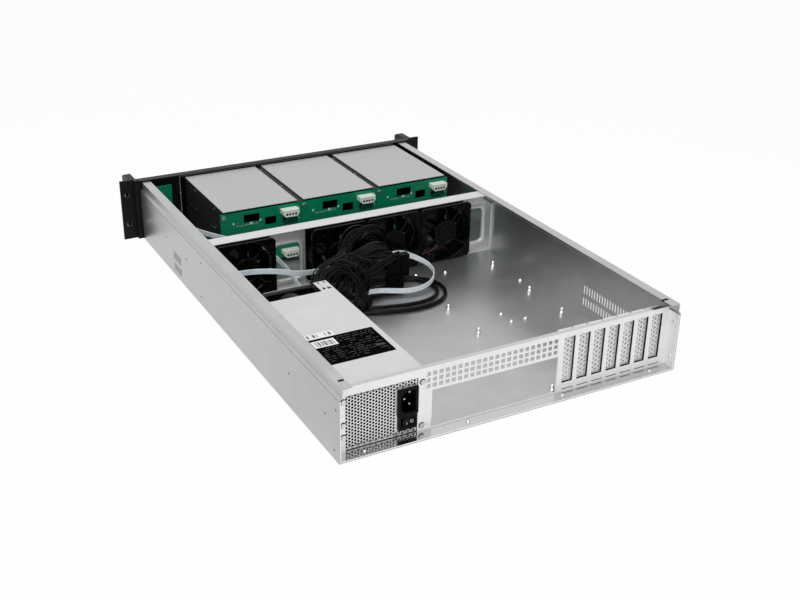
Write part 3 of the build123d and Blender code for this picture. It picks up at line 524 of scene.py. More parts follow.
# Floor cable: a round pair in a black rubber sheath. It leaves the supply low down and lies
# on the floor in two wide loops that end in a small plug.
floor_route = mm * np.array([
    (110, 83.3, 4), (110, 68, 4), (92, 57, 4), (58, 57, 4), (15, 74, 4), (-35, 83, 4),
    (-73, 69, 4), (-88, 39, 4), (-80, 8, 4), (-52, -14, 4), (-10, -13, 4), (40, -6, 4),
    (68, 16, 4), (58, 44, 4), (14, 59, 4), (-32, 69, 4), (-65, 60, 4), (-79, 34, 4), (-68, 4, 4),
    (-52, -3, 4), (-44, -3, 4),
])
floor_line = laid_line(floor_route, 260)
sheath = finish(
    "rubber_sheath", (0.004, 0.004, 0.0045), 0.18, grain=150.0, tint=0.25, bump=0.06, gloss=0.08
)
floor_lead = piece("floor_lead", rod(floor_line, 0.0024, 12), sheath)
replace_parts(floor_lead, "floor_cable")


# Ribbon cables: flat rows of grey wires moulded side by side, standing on edge, the long one
# bowed out over the floor and the short one run along the wall to the front panel.
def ribbon(line, width, thick, wire_count):
    """A flat cable: a ribbed band carried along the line, its width kept near upright.
    Across the band its half thickness swells at every wire as the modulus of a sine."""
    across, upward = moving_axes(line)
    share = np.linspace(-1, 1, wire_count * 4 + 1)
    half = thick / 2 * (0.55 + 0.45 * np.abs(np.sin(math.pi * wire_count * (share + 1) / 2)))
    u = np.r_[share, share[-2:0:-1]] * width / 2
    v = np.r_[half, -half[-2:0:-1]]
    u, v = u[None, :, None], v[None, :, None]
    return capped(line[:, None] + u * upward[:, None] + v * across[:, None])


ribbon_grey = finish("ribbon_grey", (0.75, 0.82, 0.86), 0.42, grain=120.0, bump=0.04)
long_route = mm * np.array([
    (205, -14, 55), (185, -14, 55), (160, -11, 55), (132, -1, 54), (108, 3, 47), (80, -5, 41),
    (50, -9, 39.5), (14, -9, 39.5), (-16, -9, 38.5), (-48, -18, 40), (-76, -22, 25), (-90, -4, 18),
    (-84, 21, 14.5), (-65, 37, 10), (-36, 40, 8.5), (-10, 28, 9.5), (10, 26.5, 13), (27, 30, 14),
    (29, 38, 8),
])
panel_route = mm * np.array([
    (187.8, -283.9, 49), (187.8, -250, 49), (184, -193, 51), (160, -137, 54), (141, -113, 54),
    (120, -90, 50), (107, -70, 42), (99, -51, 31), (93, -31, 16), (90, -17, 6.5), (90, -3, 6.5),
])
for ribbon_name, node, route, length, samples, ends in (
    ("long_ribbon", "ribbon_long", long_route, 0.45, 160, ("wall_clip", "long_header")),
    ("panel_ribbon", "ribbon_panel", panel_route, 0.315, 110, ("panel_header",)),
):
    line = laid_line(route, samples)
    made = piece(ribbon_name, ribbon(line, 0.0072, 0.0012, 7), ribbon_grey)
    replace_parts(made, node)


# Chassis: one folded tray of zinc-coated steel with its rear panel. The coating is matt
# and even, a little brighter on edges, and the floor mirrors the parts that stand on it.
def mirror_top_with_painted_shade(material, rough):
    """Faces that look up become mirror-like metal, and their colour is painted a darker grey by
    their facing: painted shade on the top faces.
    """
    tree = material.node_tree
    shader = next(node for node in tree.nodes if node.bl_idname == "ShaderNodeBsdfPrincipled")
    facing = added(tree, "NewGeometry")
    parts = added(tree, "SeparateXYZ")
    up_face_mask = added(tree, "Math", {1: 0.9}, operation="GREATER_THAN")
    painted_top_shade = added(tree, "MixRGB", {"Color2": (0.56, 0.565, 0.57, 1)})
    coat = shader.inputs["Base Color"].links[0].from_socket
    linked(
        tree,
        (facing.outputs["Normal"], parts.inputs[0]),
        (parts.outputs["Z"], up_face_mask.inputs[0]),
        (up_face_mask.outputs[0], painted_top_shade.inputs["Fac"]),
        (coat, painted_top_shade.inputs["Color1"]),
        (painted_top_shade.outputs["Color"], shader.inputs["Base Color"]),
    )
    coated_metal = shader.inputs["Metallic"].default_value
    for socket, low, high in (("Metallic", coated_metal, 1.0), ("Roughness", 0.4, rough)):
        blend = added(tree, "MapRange", {"To Min": low, "To Max": high})
        linked(
            tree,
            (up_face_mask.outputs[0], blend.inputs["Value"]),
            (blend.outputs["Result"], shader.inputs[socket]),
        )


def dress(node_names, material, edge=0.0):
    """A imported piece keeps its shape, takes a finish and shows a fine rounded edge."""
    for node_name in node_names:
        made = nodes[node_name]
        for place in made.material_slots:
            place.material = material
        if not made.material_slots:
            made.data.materials.append(material)
        if edge:
            modified(made, "WELD", merge_threshold=0.00001)
            modified(made, "DECIMATE", decimate_type="DISSOLVE", angle_limit=math.radians(1))
            modified(made, "BEVEL", width=edge, segments=2, limit_method="ANGLE")


zinc = finish("zinc_coat", (0.47, 0.475, 0.48), 0.33, metal=0.92, grain=30.0, tint=0.05, bump=0.06)
dress(["chassis_tray"], zinc, 0.0005)
rear_zinc_shaded_top = finish("rear_zinc_shaded_top", (0.86, 0.865, 0.87), 0.4, metal=0.42, grain=40.0, tint=0.03)
# The rear panel's faces that look up are mirror-like, and painted shade darkens their colour.
mirror_top_with_painted_shade(rear_zinc_shaded_top, 0.16)
dress(["rear_panel"], rear_zinc_shaded_top)

# Wall creases: a fine dark strip along each side wall, a little under the flange, is painted shade
# where the wall is folded. It is part of the sheet and nothing fixes it.
painted_fold_and_dimple_shade = finish("painted_fold_and_dimple_shade", (0.05, 0.05, 0.052), 0.5, grain=90.0, tint=0.2, gloss=0.2)
crease_shade_spans = [
    ((side * 0.21498, side * 0.21506), (-0.3025, 0.3475), (0.07245, 0.07285)) for side in (1, -1)
]
blocks("wall_crease_shades", crease_shade_spans, painted_fold_and_dimple_shade)

# Hook pockets: notches behind the flanges, where the lid's hooks go in. They are cut in the sheet,
# and the black blocks under them are painted shade of their depth.
pocket_shade_spans = [
    ((0.2008, 0.2098), (0.3285, 0.3345), (0.0836, 0.0847)),
    ((-0.2008, -0.2128), (0.3285, 0.342), (0.0836, 0.0847)),
]
blocks("hook_pocket_shades", pocket_shade_spans, black_shell_and_painted_shade)


# Wall rivets: small flush steel rivets, pressed through the side walls, that hold the cage,
# the fan wall and the supply.
def turned(profile, centre, axis, sides):
    """A lathe shape: pairs of radius and height carried round an axis through the centre."""
    profile = np.asarray(profile, float)
    axis = np.asarray(axis, float)
    side = np.cross(axis, (0.0, 0.0, 1.0) if abs(axis[2]) < 0.9 else (1.0, 0.0, 0.0))
    side /= np.linalg.norm(side)
    other = np.cross(axis, side)
    turn = np.linspace(0, 2 * math.pi, sides, endpoint=False)
    ring = np.cos(turn)[:, None] * side + np.sin(turn)[:, None] * other
    heights = profile[:, 1, None, None] * axis
    return capped(np.asarray(centre, float) + profile[:, 0, None, None] * ring[None] + heights)


dull_steel = finish("dull_steel", (0.16, 0.16, 0.16), 0.4, metal=0.8, grain=300.0, tint=0.15)
bright_steel = finish("bright_steel", (0.66, 0.66, 0.65), 0.28, metal=1.0, grain=300.0, tint=0.1)
flush_head = (
    (0.0015, -0.0002), (0.0015, 0.0001), (0.0012, 0.0003), (0.0006, 0.0004), (0.0002, 0.0004),
)
wall_face = 0.215
wall_points = (
    (-273.5, 62), (-275.5, 44), (-279.5, 14), (-192.5, 44), (-109.5, 44), (-51.5, 61.5),
    (-58.5, 12), (224, 42), (315.5, 42.5), (340.5, 59.5), (336.5, 11),
)
wall_heads = [
    turned(flush_head, (side * wall_face, y * mm, z * mm), (side, 0, 0), 14)
    for side in (1, -1)
    for y, z in wall_points
]
piece("wall_rivets", joined(wall_heads), dull_steel)

# Lip rivets: domed steel rivets, four through the rear lip of the floor and two through each
# side flange of the rear panel.
dome = ((0.0024, 0.0), (0.0023, 0.0006), (0.0017, 0.0012), (0.0009, 0.0015), (0.0002, 0.0016))
lip_heads = [
    turned(dome, (x, 0.34, 0.0024), (0, 0, 1), 16) for x in (0.183, 0.06, -0.0625, -0.1854)
]
lip_heads += [
    turned(dome, (side * 0.2129, 0.3405, z), (-side, 0, 0), 16)
    for side in (1, -1)
    for z in (0.061, 0.0155)
]
lip_rivets = piece("lip_rivets", joined(lip_heads), bright_steel)
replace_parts(lip_rivets, "rivets")


# Slot covers: seven perforated steel blanks behind the panel, each with a tongue below and a
# bent tab on top. They are punched from sheet and screwed down by their tabs.
def perforated(x, z, y, columns, rows, hole):
    """A sheet of cells at depth y, each a ring from its border in to its round hole.
    Cells lie in columns and rows, and every other column is set half a cell over."""
    sides = 12
    turn = np.linspace(0, 2 * math.pi, sides, endpoint=False) + math.pi / 4
    ray = np.stack([np.cos(turn), np.sin(turn)], axis=1)
    pitch = np.array([(x[1] - x[0]) / columns, (z[1] - z[0]) / rows])
    border = ray / np.abs(ray).max(axis=1, keepdims=True) * pitch / 2
    i, j = np.meshgrid(np.arange(columns), np.arange(rows), indexing="ij")
    middle = np.stack([x[0] + (i + 0.5) * pitch[0], z[0] + (j + 0.5) * pitch[1]], axis=-1)
    middle[..., 1] += np.where(i % 2 == 1, 0.25, -0.25) * pitch[1]
    middle = middle.reshape(-1, 1, 2)
    rings = np.stack([middle + border, middle + ray * hole / 2], axis=1).reshape(-1, 2)
    points = np.stack([rings[:, 0], np.full(len(rings), y), rings[:, 1]], axis=1)
    one = grid_quads(2, sides, around=True)
    faces = (one[None] + 2 * sides * np.arange(len(middle))[:, None, None]).reshape(-1, 4)
    return points, faces


def patches(y, spans):
    """Plain rectangles of the same sheet at depth y, from pairs of an x and a z span."""
    return [
        (np.array([(a, y, low), (b, y, low), (b, y, high), (a, y, high)]), [[0, 1, 2, 3]])
        for (a, b), (low, high) in spans
    ]


def thickened(made, thick):
    """Gives a sheet its metal thickness, half to each side."""
    return modified(made, "SOLIDIFY", thickness=thick, offset=0.0)


def about(middle, half):
    """The span that reaches as far to each side of a middle."""
    return middle - half, middle + half


pale_zinc = finish("pale_zinc", (0.76, 0.765, 0.77), 0.4, metal=0.45, grain=40.0, tint=0.03)
slot_pitch = 0.02032
slot_places = -0.0726 - slot_pitch * np.arange(7)
blank_y, mesh_half, blank_half = 0.3293, 0.0066, 0.0092
blank_foot, mesh_foot, mesh_top, blank_top = 0.0105, 0.0136, 0.07, 0.073
blank_parts, tab_spans = [], []
for x in slot_places:
    mesh_span = about(x, mesh_half)
    blank_parts.append(perforated(mesh_span, (mesh_foot, mesh_top), blank_y, 3, 10, 0.0036))
    blank_parts += patches(
        blank_y,
        (
            ((x - blank_half, x - mesh_half), (blank_foot, blank_top)),
            ((x + mesh_half, x + blank_half), (blank_foot, blank_top)),
            (mesh_span, (mesh_top, blank_top)),
            (mesh_span, (blank_foot, mesh_foot)),
            (about(x, 0.0052), (0.004, blank_foot)),
        ),
    )
    tab_spans.append((about(x, blank_half), (0.32, 0.3298), (blank_top, 0.0742)))
blanks = piece("slot_blanks", joined(blank_parts), pale_zinc, smooth=False)
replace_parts(thickened(blanks, 0.001), "slot_covers")
blocks("slot_blank_tabs", tab_spans, pale_zinc, 0.0003)


# Power supply: a plain steel box with a white coated cover. Its rear wall is stamped full of
# small round holes, its front wall holds the fan and the two cable exits.
def rounded_loop(centre, half, corner, y, count):
    """A rounded rectangle at depth y, where rays spread evenly from the centre meet it:
    the nearer of the two side planes, or the corner circle past its start."""
    turn = (np.arange(count) + 0.5) * 2 * math.pi / count
    ray = np.stack([np.cos(turn), np.sin(turn)], axis=1)
    half = np.asarray(half, float)
    reach = (half / np.maximum(np.abs(ray), 1e-9)).min(axis=1)
    place = ray * reach[:, None]
    middle = np.sign(ray) * (half - corner)
    along = (ray * middle).sum(axis=1)
    inside = np.maximum(along**2 - (middle**2).sum(axis=1) + corner**2, 0)
    rounded = (np.abs(place) > half - corner).all(axis=1)
    place = np.where(rounded[:, None], ray * (along + np.sqrt(inside))[:, None], place)
    return np.stack([centre[0] + place[:, 0], np.full(count, y), centre[1] + place[:, 1]], axis=1)


def circle(centre, radius, y, turn):
    """Points round a centre at depth y, at the angles given."""
    x, z = centre[0] + radius * np.cos(turn), centre[1] + radius * np.sin(turn)
    return np.stack([x, np.full(len(turn), y), z], axis=1)


def ring_of(loops_in_turn, closed=True):
    """A skin through loops of equally many points, the last joined to the first if closed."""
    points = np.asarray(loops_in_turn)
    faces = grid_quads(len(points), points.shape[1], around=True, closed_rows=closed)
    return points.reshape(-1, 3), faces


supply_front, supply_rear = 0.0837, 0.3309
mesh_parts = [
    perforated(x, z, supply_rear, columns, rows, 0.0029)
    for x, z, columns, rows in (
        ((0.1432, 0.2007), (0.0054, 0.0654), 17, 16),
        ((0.1195, 0.1432), (0.0597, 0.0672), 7, 2),
        ((0.1195, 0.1432), (0.0047, 0.0084), 7, 1),
    )
]
mesh_parts += patches(
    supply_rear,
    (
        ((0.1055, 0.1172), (0.0012, 0.0712)), ((0.1183, 0.1195), (0.058, 0.0712)),
        ((0.1183, 0.1195), (0.0035, 0.009)), ((0.1195, 0.1432), (0.058, 0.0597)),
        ((0.1195, 0.1432), (0.0672, 0.0712)), ((0.1195, 0.1432), (0.0035, 0.0047)),
        ((0.1195, 0.1432), (0.0084, 0.009)), ((0.1408, 0.1432), (0.009, 0.058)),
        ((0.1432, 0.2055), (0.0035, 0.0054)), ((0.1432, 0.2007), (0.0654, 0.0712)),
        ((0.2007, 0.2055), (0.0054, 0.0712)),
    ),
)
mesh_wall = piece("supply_rear_wall", joined(mesh_parts), pale_zinc, smooth=False)
thickened(mesh_wall, 0.0004)
fan_middle, fan_hole, hole_points = (0.1555, 0.0362), 0.0315, 48
turn = np.linspace(0, 2 * math.pi, hole_points, endpoint=False) + math.pi / hole_points
hole_loop = circle(fan_middle, fan_hole, supply_front, turn)
outer_loop = rounded_loop(fan_middle, (0.0335, 0.0345), 0.0001, supply_front, hole_points)
front_parts = [ring_of([outer_loop, hole_loop], closed=False)]
front_parts += patches(
    supply_front,
    (
        ((0.189, 0.2055), (0.0012, 0.0704)), ((0.1055, 0.1099), (0.0012, 0.0704)),
        ((0.1189, 0.122), (0.0012, 0.0704)), ((0.1099, 0.1189), (0.0485, 0.0704)),
        ((0.1099, 0.1189), (0.0233, 0.0395)), ((0.1099, 0.1189), (0.0012, 0.0167)),
    ),
)
front_wall = piece("supply_front_wall", joined(front_parts), zinc, smooth=False)
thickened(front_wall, 0.0008)
box_spans = (
    ((0.1055, 0.1063), (supply_front, supply_rear), (0.0012, 0.0704)),
    ((0.2047, 0.2055), (supply_front, supply_rear), (0.0012, 0.0704)),
    ((0.1055, 0.2055), (supply_front, supply_rear), (0.0012, 0.002)),
)
supply_box = blocks("supply_box", box_spans, pale_zinc)
for made in (mesh_wall, front_wall, supply_box):
    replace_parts(made, "psu_case")
# The same black stands for the film inside the supply and for painted shade in slits and slots.
film_and_slit_shade = finish("insulating_film_and_slit_shade", (0.003, 0.003, 0.003), 0.5, grain=90.0, tint=0.1, gloss=0.1)
film_spans = (
    ((0.1066, 0.1069), (0.0845, 0.33), (0.0022, 0.07)),
    ((0.2041, 0.2044), (0.0845, 0.33), (0.0022, 0.07)),
    ((0.1069, 0.2041), (0.12, 0.33), (0.0698, 0.0701)),
    ((0.1069, 0.2041), (0.26, 0.33), (0.0021, 0.0023)),
)
blocks("supply_film", film_spans, film_and_slit_shade)
white_coat = finish(
    "white_coat", (0.62, 0.625, 0.63), 0.38, metal=0.3, grain=50.0, tint=0.03, bump=0.04
)
dress(["psu_cover"], white_coat, 0.0003)
supply_board = finish("supply_board", (0.012, 0.014, 0.011), 0.5, grain=200.0, tint=0.2)
dress(["psu_board"], supply_board)
black_plastic = finish(
    "black_plastic", (0.003, 0.003, 0.0035), 0.2, grain=120.0, tint=0.25, bump=0.04, gloss=0.08
)
dress(["psu_inlet", "switch_rocker"], black_plastic, 0.0003)

# Labels of the supply: a glossy black plate with dark bars for its lines and two small white
# papers beside it, one with plain upright bars, all stuck on the cover.
label_black, label_white, label_grey, paper_ink, label_green = [
    finish(name, colour, rough, grain=90.0, tint=tint, bump=bump, gloss=gloss)
    for name, colour, rough, tint, bump, gloss in (
        ("label_black", (0.0035, 0.0035, 0.0035), 0.3, 0.2, 0.02, 0.0),
        ("label_white", (0.85, 0.85, 0.85), 0.5, 0.02, 0.02, 0.5),
        ("label_grey", (0.075, 0.075, 0.077), 0.4, 0.4, 0.02, 0.0),
        ("paper_ink", (0.2, 0.2, 0.2), 0.5, 0.3, 0.0, 0.1),
        ("label_green", (0.1, 0.13, 0.04), 0.4, 0.3, 0.02, 0.1),
    )
]
chance = np.random.default_rng(11)
line_pitch, bar_tall, plate_end = 0.0047, 0.0011, 0.186
bars = []
for row in range(11):
    y0 = 0.221 + line_pitch * row
    at = 0.116
    while at < 0.184:
        wide = chance.uniform(0.002, 0.01)
        if chance.uniform() < 0.7:
            bars.append(((at, min(at + wide, plate_end)), (y0, y0 + bar_tall), (0.07135, 0.07146)))
        at += wide + chance.uniform(0.0012, 0.003)
upper_marks = (
    (0.164, 0.0012), (0.1664, 0.0026), (0.1702, 0.001), (0.1724, 0.003), (0.1766, 0.0016),
    (0.1798, 0.0024), (0.1838, 0.0012),
)
lower_marks = ((0.159, 0.003), (0.165, 0.0012), (0.1745, 0.001), (0.1775, 0.003), (0.185, 0.0022))
paper_bars = [((x, x + wide), (0.224, 0.2345), (0.0716, 0.07166)) for x, wide in upper_marks]
paper_bars += [((x, x + wide), (0.2062, 0.213), (0.07133, 0.07142)) for x, wide in lower_marks]
plate_span = ((0.1125, 0.1895), (0.2165, 0.2755), (0.0711, 0.0714))
mark_span = ((0.117, 0.127), (0.256, 0.2575), (0.07135, 0.07148))
paper_spans = (
    ((0.156, 0.19), (0.204, 0.215), (0.0711, 0.07135)),
    ((0.1615, 0.1885), (0.2215, 0.2365), (0.0714, 0.07162)),
)
blocks("supply_plate", (plate_span,), label_black)
blocks("supply_plate_bars", bars, label_grey)
blocks("supply_plate_mark", (mark_span,), label_green)
blocks("supply_paper_labels", paper_spans, label_white)
blocks("supply_paper_bars", paper_bars, paper_ink)


# Fans: moulded black housings, two square flanges joined by a round shell, with a motor disc
# on four struts behind and a seven-blade impeller in front of it.
def fan_housing(centre, back_y, half, bore, hub, depth, strut):
    """The housing's closed section as loops, from the rear flange round through the bore,
    with its motor disc and four struts bowed by a half sine."""
    count = 64
    turn = (np.arange(count) + 0.5) * 2 * math.pi / count
    front_y, chamfer, flange = back_y - depth, 0.0006, 0.0038
    shell, mouth = half - 0.0008, bore + 0.0008

    def ring(radius, y):
        return circle(centre, radius, y, turn)

    def square(side, y):
        return rounded_loop(centre, (side, side), 0.004, y, count)

    skin = ring_of(
        [
            ring(bore, back_y - 0.0012), ring(mouth, back_y), square(half - chamfer, back_y),
            square(half, back_y - chamfer), square(half, back_y - flange),
            ring(shell, back_y - 0.004), ring(shell, front_y + 0.004),
            square(half, front_y + flange), square(half, front_y + chamfer),
            square(half - chamfer, front_y), ring(mouth, front_y), ring(bore, front_y + 0.0012),
        ]
    )
    disc = (
        (0.0002, 0.0007), (hub - 0.004, 0.0007), (hub - 0.0036, 0.0001), (hub - 0.0008, 0.0),
        (hub, 0.0008), (hub, strut), (0.0002, strut),
    )
    parts = [skin, turned(disc, (centre[0], back_y, centre[1]), (0, -1, 0), 48)]
    for angle in np.radians((30, 120, 210, 300)):
        reach = np.linspace(hub - 0.001, bore + 0.001, 8)
        bow = angle + 0.1 * np.sin(math.pi * (reach - reach[0]) / (reach[-1] - reach[0]))
        parts.append(rod(circle(centre, reach, back_y - strut / 2, bow), strut / 2, 8))
    return joined(parts)


def impeller(centre, back_y, hub, reach, depth, half_turn, rise):
    """Blades: at height u from hub to tip and place v across, the angle is the blade's own
    plus v times its half width and a sweep that grows with u; the depth is v times the rise,
    bowed by 1 - v squared."""
    count, steps, sweep = 7, 9, 0.22
    u, v = np.meshgrid(np.linspace(0, 1, steps), np.linspace(-1, 1, steps), indexing="ij")
    radius = hub - 0.0006 + u * (reach - hub)
    own = np.arange(count)[:, None, None] * 2 * math.pi / count
    angle = own + v * half_turn * (0.78 + 0.22 * u) + sweep * u
    y = back_y - depth / 2 + v * rise * (1.05 - 0.25 * u) - 0.0011 * (1 - v**2)
    x = centre[0] + radius * np.sin(angle)
    z = centre[1] + radius * np.cos(angle)
    points = np.stack([x, np.broadcast_to(y, x.shape), z], axis=-1).reshape(-1, 3)
    one = grid_quads(steps, steps)
    faces = (one[None] + steps * steps * np.arange(count)[:, None, None]).reshape(-1, 4)
    return points, faces


fan_black = finish(
    "fan_black", (0.0025, 0.0025, 0.003), 0.12, grain=120.0, tint=0.3, bump=0.03, gloss=0.08
)
fans = [
    (f"fan_{number}", f"fan_frame_{number}", f"fan_rotor_{number}", f"rotor_{number}")
    + ((x, 0.0424), -0.0395, 0.04, 0.038, 0.018, 0.0362)
    for number, x in enumerate((0.158, 0.0269, -0.0537, -0.1343), 1)
]
fans.append(
    ("supply_fan", "psu_fan_frame", "psu_fan_rotor", "psu_rotor")
    + ((0.1555, 0.035), 0.1091, 0.033, 0.0305, 0.015, 0.0285)
)
for fan_name, frame_node, rotor_node, body, centre, back_y, half, bore, hub, reach in fans:
    shape = fan_housing(centre, back_y, half, bore, hub, 0.025, 0.004)
    housing = piece(fan_name + "_housing", shape, fan_black)
    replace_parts(housing, frame_node)
    rotor_y, rotor_rim = back_y - 0.0045, hub - 0.001
    shape = impeller(centre, rotor_y, rotor_rim, reach, 0.018, 0.68, 0.0066)
    blades = piece(fan_name + "_blades", shape, fan_black, body)
    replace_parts(thickened(blades, 0.0012), rotor_node)
    cup_profile = (
        (0.0002, 0.0), (hub - 0.002, 0.0), (rotor_rim, 0.001), (rotor_rim, 0.016),
        (hub - 0.0025, 0.0178), (0.0002, 0.018),
    )
    shape = turned(cup_profile, (centre[0], rotor_y, centre[1]), (0, -1, 0), 40)
    cup = piece(fan_name + "_cup", shape, fan_black, body)
    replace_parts(cup, rotor_node)
    for made in (housing, cup):
        modified(made, "EDGE_SPLIT", split_angle=math.radians(35))

# Fan wall: a folded channel of pale coated steel across the case, with two cable windows
# whose edges are drawn out into a rounded rim.
rail_coat = finish("rail_coat", (0.66, 0.665, 0.67), 0.4, metal=0.5, grain=50.0, tint=0.04)
dress(["fan_wall"], rail_coat, 0.0004)
rim_section = (
    (0.003, 0.008, -0.0645), (0.0022, 0.0075, -0.0622), (0.0006, 0.007, -0.0612),
    (-0.0016, 0.0065, -0.0618), (-0.0022, 0.006, -0.064), (-0.0022, 0.006, -0.0662),
    (0.003, 0.008, -0.0662),
)
rims = [
    ring_of(
        [
            rounded_loop((x, 0.035), (half_wide + out, 0.027 + out), corner, y, 64)
            for out, corner, y in rim_section
        ]
    )
    for x, half_wide in ((0.0924, 0.02), (-0.1948, 0.015))
]
piece("window_rims", joined(rims), rail_coat)

# Fan lead: a thin red and a thin black wire from the last fan's motor to the foot of its
# frame. They are soldered inside the motor and clipped at the frame.
red_wire = finish("red_wire", (0.2, 0.01, 0.012), 0.35, grain=200.0, tint=0.1)
for lead_name, rise, material in (
    ("fan_lead_red", 0.0, red_wire),
    ("fan_lead_black", 1.6, black_wire),
):
    lead_route = mm * np.array([
        (-121, -39, 27 + rise), (-117, -38.6, 22 + rise), (-108, -38.6, 19.5 + rise),
        (-97, -39, 19 + rise),
    ])
    wires(lead_name, [lead_route], material, 0.0006)

# Slot slits and edges: the tongue of each blank passes a narrow slit in the panel under its slot.
# The slits are not cut: dark bars on the panel are painted shade for them, and dark strips along
# each slot's side and foot are painted shade of the gap by the blank.
slit_places = -0.0746 - slot_pitch * np.arange(7)
slit_shade_spans = [((x - 0.0074, x + 0.008), (0.3325, 0.33256), (0.0047, 0.0057)) for x in slit_places]
blocks("slot_slit_shades", slit_shade_spans, film_and_slit_shade)
edge_shade_spans = []
for x in slot_places:
    edge_shade_spans.append(((x - 0.00716, x - 0.007), (0.3296, 0.3324), (0.0137, 0.0699)))
    edge_shade_spans.append(((x - 0.007, x + 0.007), (0.3296, 0.3324), (0.01349, 0.0136)))
blocks("slot_edge_shades", edge_shade_spans, film_and_slit_shade)

# Cover slots: four short slots where tongues are lanced in the supply's cover to hold it on the
# case. They are drawn as dark blocks on the cover: painted shade for their insides.
lance_places = ((0.1172, 0.0873), (0.1098, 0.0873), (0.1166, 0.104), (0.1093, 0.104))
lance_shade_spans = [(about(x, 0.0012), about(y, 0.0016), (0.0711, 0.07128)) for x, y in lance_places]
blocks("cover_slot_shades", lance_shade_spans, film_and_slit_shade)

# Mains inlet: three bright pins moulded in deep in the socket, and the two marks printed on
# the rocker of the switch below it.
pin_places = ((0.1256, 0.0495), (0.1316, 0.0425), (0.1256, 0.0355))
pin_spans = [(about(x, 0.001), (0.3255, 0.3291), (z + 0.0004, z + 0.0021)) for x, z in pin_places]
blocks("inlet_pins", pin_spans, bright_steel, 0.0003)
turn = np.linspace(0, 2 * math.pi, 33)
ring_line = np.stack(
    [0.1253 + 0.0015 * np.cos(turn), np.full(33, 0.3344), 0.019 + 0.0017 * np.sin(turn)], axis=1
)
upright_mark = boxes((((0.131, 0.1315), (0.334, 0.3348), (0.0162, 0.0186)),))
ring_mark = rod(ring_line, 0.00022, 6, reference=(0, 1, 0))
mark_white = finish("mark_white", (0.8, 0.8, 0.8), 0.4, grain=90.0, tint=0.02, bump=0.0)
marks = joined([upright_mark, ring_mark])
piece("switch_marks", marks, mark_white, "rocker", smooth=False)

# Screw recesses: each screw that holds the supply sits in a dimple pressed in the rear panel. Its
# dark edge is a thin ring of painted shade.
recess_shade_profile = ((0.0036, 0.0), (0.0034, 0.0002), (0.003, 0.0003), (0.0029, 0.0))
recess_places = ((0.203, 0.061), (0.203, 0.034), (0.203, 0.02), (0.1125, 0.061), (0.1125, 0.0091))
recess_shade_rings = [turned(recess_shade_profile, (x, 0.3325, z), (0, 1, 0), 20) for x, z in recess_places]
piece("screw_recess_shades", joined(recess_shade_rings), painted_fold_and_dimple_shade)

# Drive cage: black coated steel, spot-welded, with pressed guides in its outer walls whose
# bare edges shine, and small screws through the strips that bridge the columns.
dark_steel = finish("dark_steel", (0.02, 0.02, 0.021), 0.45, tint=0.15, gloss=0.12)
dress(["drive_cage"], dark_steel)
guide_rims, guide_bridges = [], []
for wall_x, out in ((0.1492, 1), (-0.1924, -1)):
    for z in (0.0244, 0.0514, 0.0784):
        proud = (wall_x - out * 0.0006, wall_x + out * 0.0003)
        guide_bridges.append((proud, (-0.254, -0.212), about(z, 0.0013)))
        for low, high in ((-0.285, -0.2545), (-0.2115, -0.1765)):
            lower = ((wall_x, wall_x + out * 0.0008), (low, high), (z - 0.0021, z - 0.0012))
            end = ((wall_x, wall_x + out * 0.0014), (high - 0.003, high), (z - 0.0019, z + 0.0012))
            guide_rims += [lower, end]
blocks("cage_guide_bridges", guide_bridges, dark_steel)
blocks("cage_guide_rims", guide_rims, bright_steel)
screw_head = ((0.0019, 0.0), (0.0018, 0.0006), (0.001, 0.001), (0.0002, 0.0011))
bridge_heads = [
    turned(screw_head, (x, y, 0.0822), (0, 0, 1), 14)
    for x in (0.0369, -0.0801)
    for y in (-0.2875, -0.211)
]
piece("bridge_screws", joined(bridge_heads), dull_steel)

# Cage tops: plain plates of bare brushed steel, one over each column of the cage, held down
# by the screws of the cage.
steel_top = finish(
    "cage_top_steel", (0.47, 0.47, 0.475), 0.45, metal=0.6, grain=700.0, tint=0.1, bump=0.12
)
dress(["cage_top_1", "cage_top_2", "cage_top_3"], steel_top, 0.0003)


# Backplanes: green circuit boards. Each carries a black connector under its power socket,
# small white parts, a line of fine print drawn as dashes, and plated holes at its corner.
def proud_of(face, height):
    """The span from a face out by a height."""
    return face, face + height


board_green = finish("board_green", (0.0, 0.19, 0.09), 0.32, grain=200.0, tint=0.12, gloss=0.4)
dress(["backplane_1", "backplane_2", "backplane_3"], board_green)
print_white = finish("print_white", (0.5, 0.62, 0.52), 0.5, grain=90.0, tint=0.05, bump=0.0)
board_face, connector_face = -0.1439, -0.1439 + 0.005
board_middles = (0.0954, -0.0216, -0.1386)
part_places = ((0.0405, -0.006, 0.0013), (0.0019, -0.0063, 0.0012), (0.0152, -0.0085, 0.0022))
hole_places = ((-0.055, 0.004), (-0.0562, 0.0015), (-0.0545, -0.011), (-0.056, -0.0135))
chance = np.random.default_rng(23)
prints, connectors, teeth = [], [], []
for middle in board_middles:
    for socket_z in (0.072, 0.012):
        for x, z, wide in part_places:
            small_part = (about(middle + x, wide), proud_of(board_face, 0.0006))
            prints.append((*small_part, about(socket_z + z, 0.0013)))
        at = 0.005
        while at < 0.037:
            wide = chance.uniform(0.0008, 0.003)
            low = socket_z - 0.0105 + chance.uniform(-0.0006, 0.0006)
            dash = (proud_of(middle + at, wide), proud_of(board_face, 0.0002))
            prints.append((*dash, proud_of(low, 0.0007)))
            at += wide + chance.uniform(0.0006, 0.0016)
        for at, drop in hole_places:
            plating = (proud_of(middle + at, 0.0016), proud_of(board_face, 0.0004))
            prints.append((*plating, proud_of(socket_z + drop, 0.0012)))
    socket_x = middle - 0.0414
    connectors.append((about(socket_x, 0.01), (board_face, connector_face), (0.0565, 0.0632)))
    for x in np.arange(-0.009, 0.0091, 0.002):
        tooth = (proud_of(socket_x + x, 0.0007), proud_of(connector_face, 0.0003))
        teeth.append((*tooth, (0.0572, 0.0625)))
board_foot = 0.0045
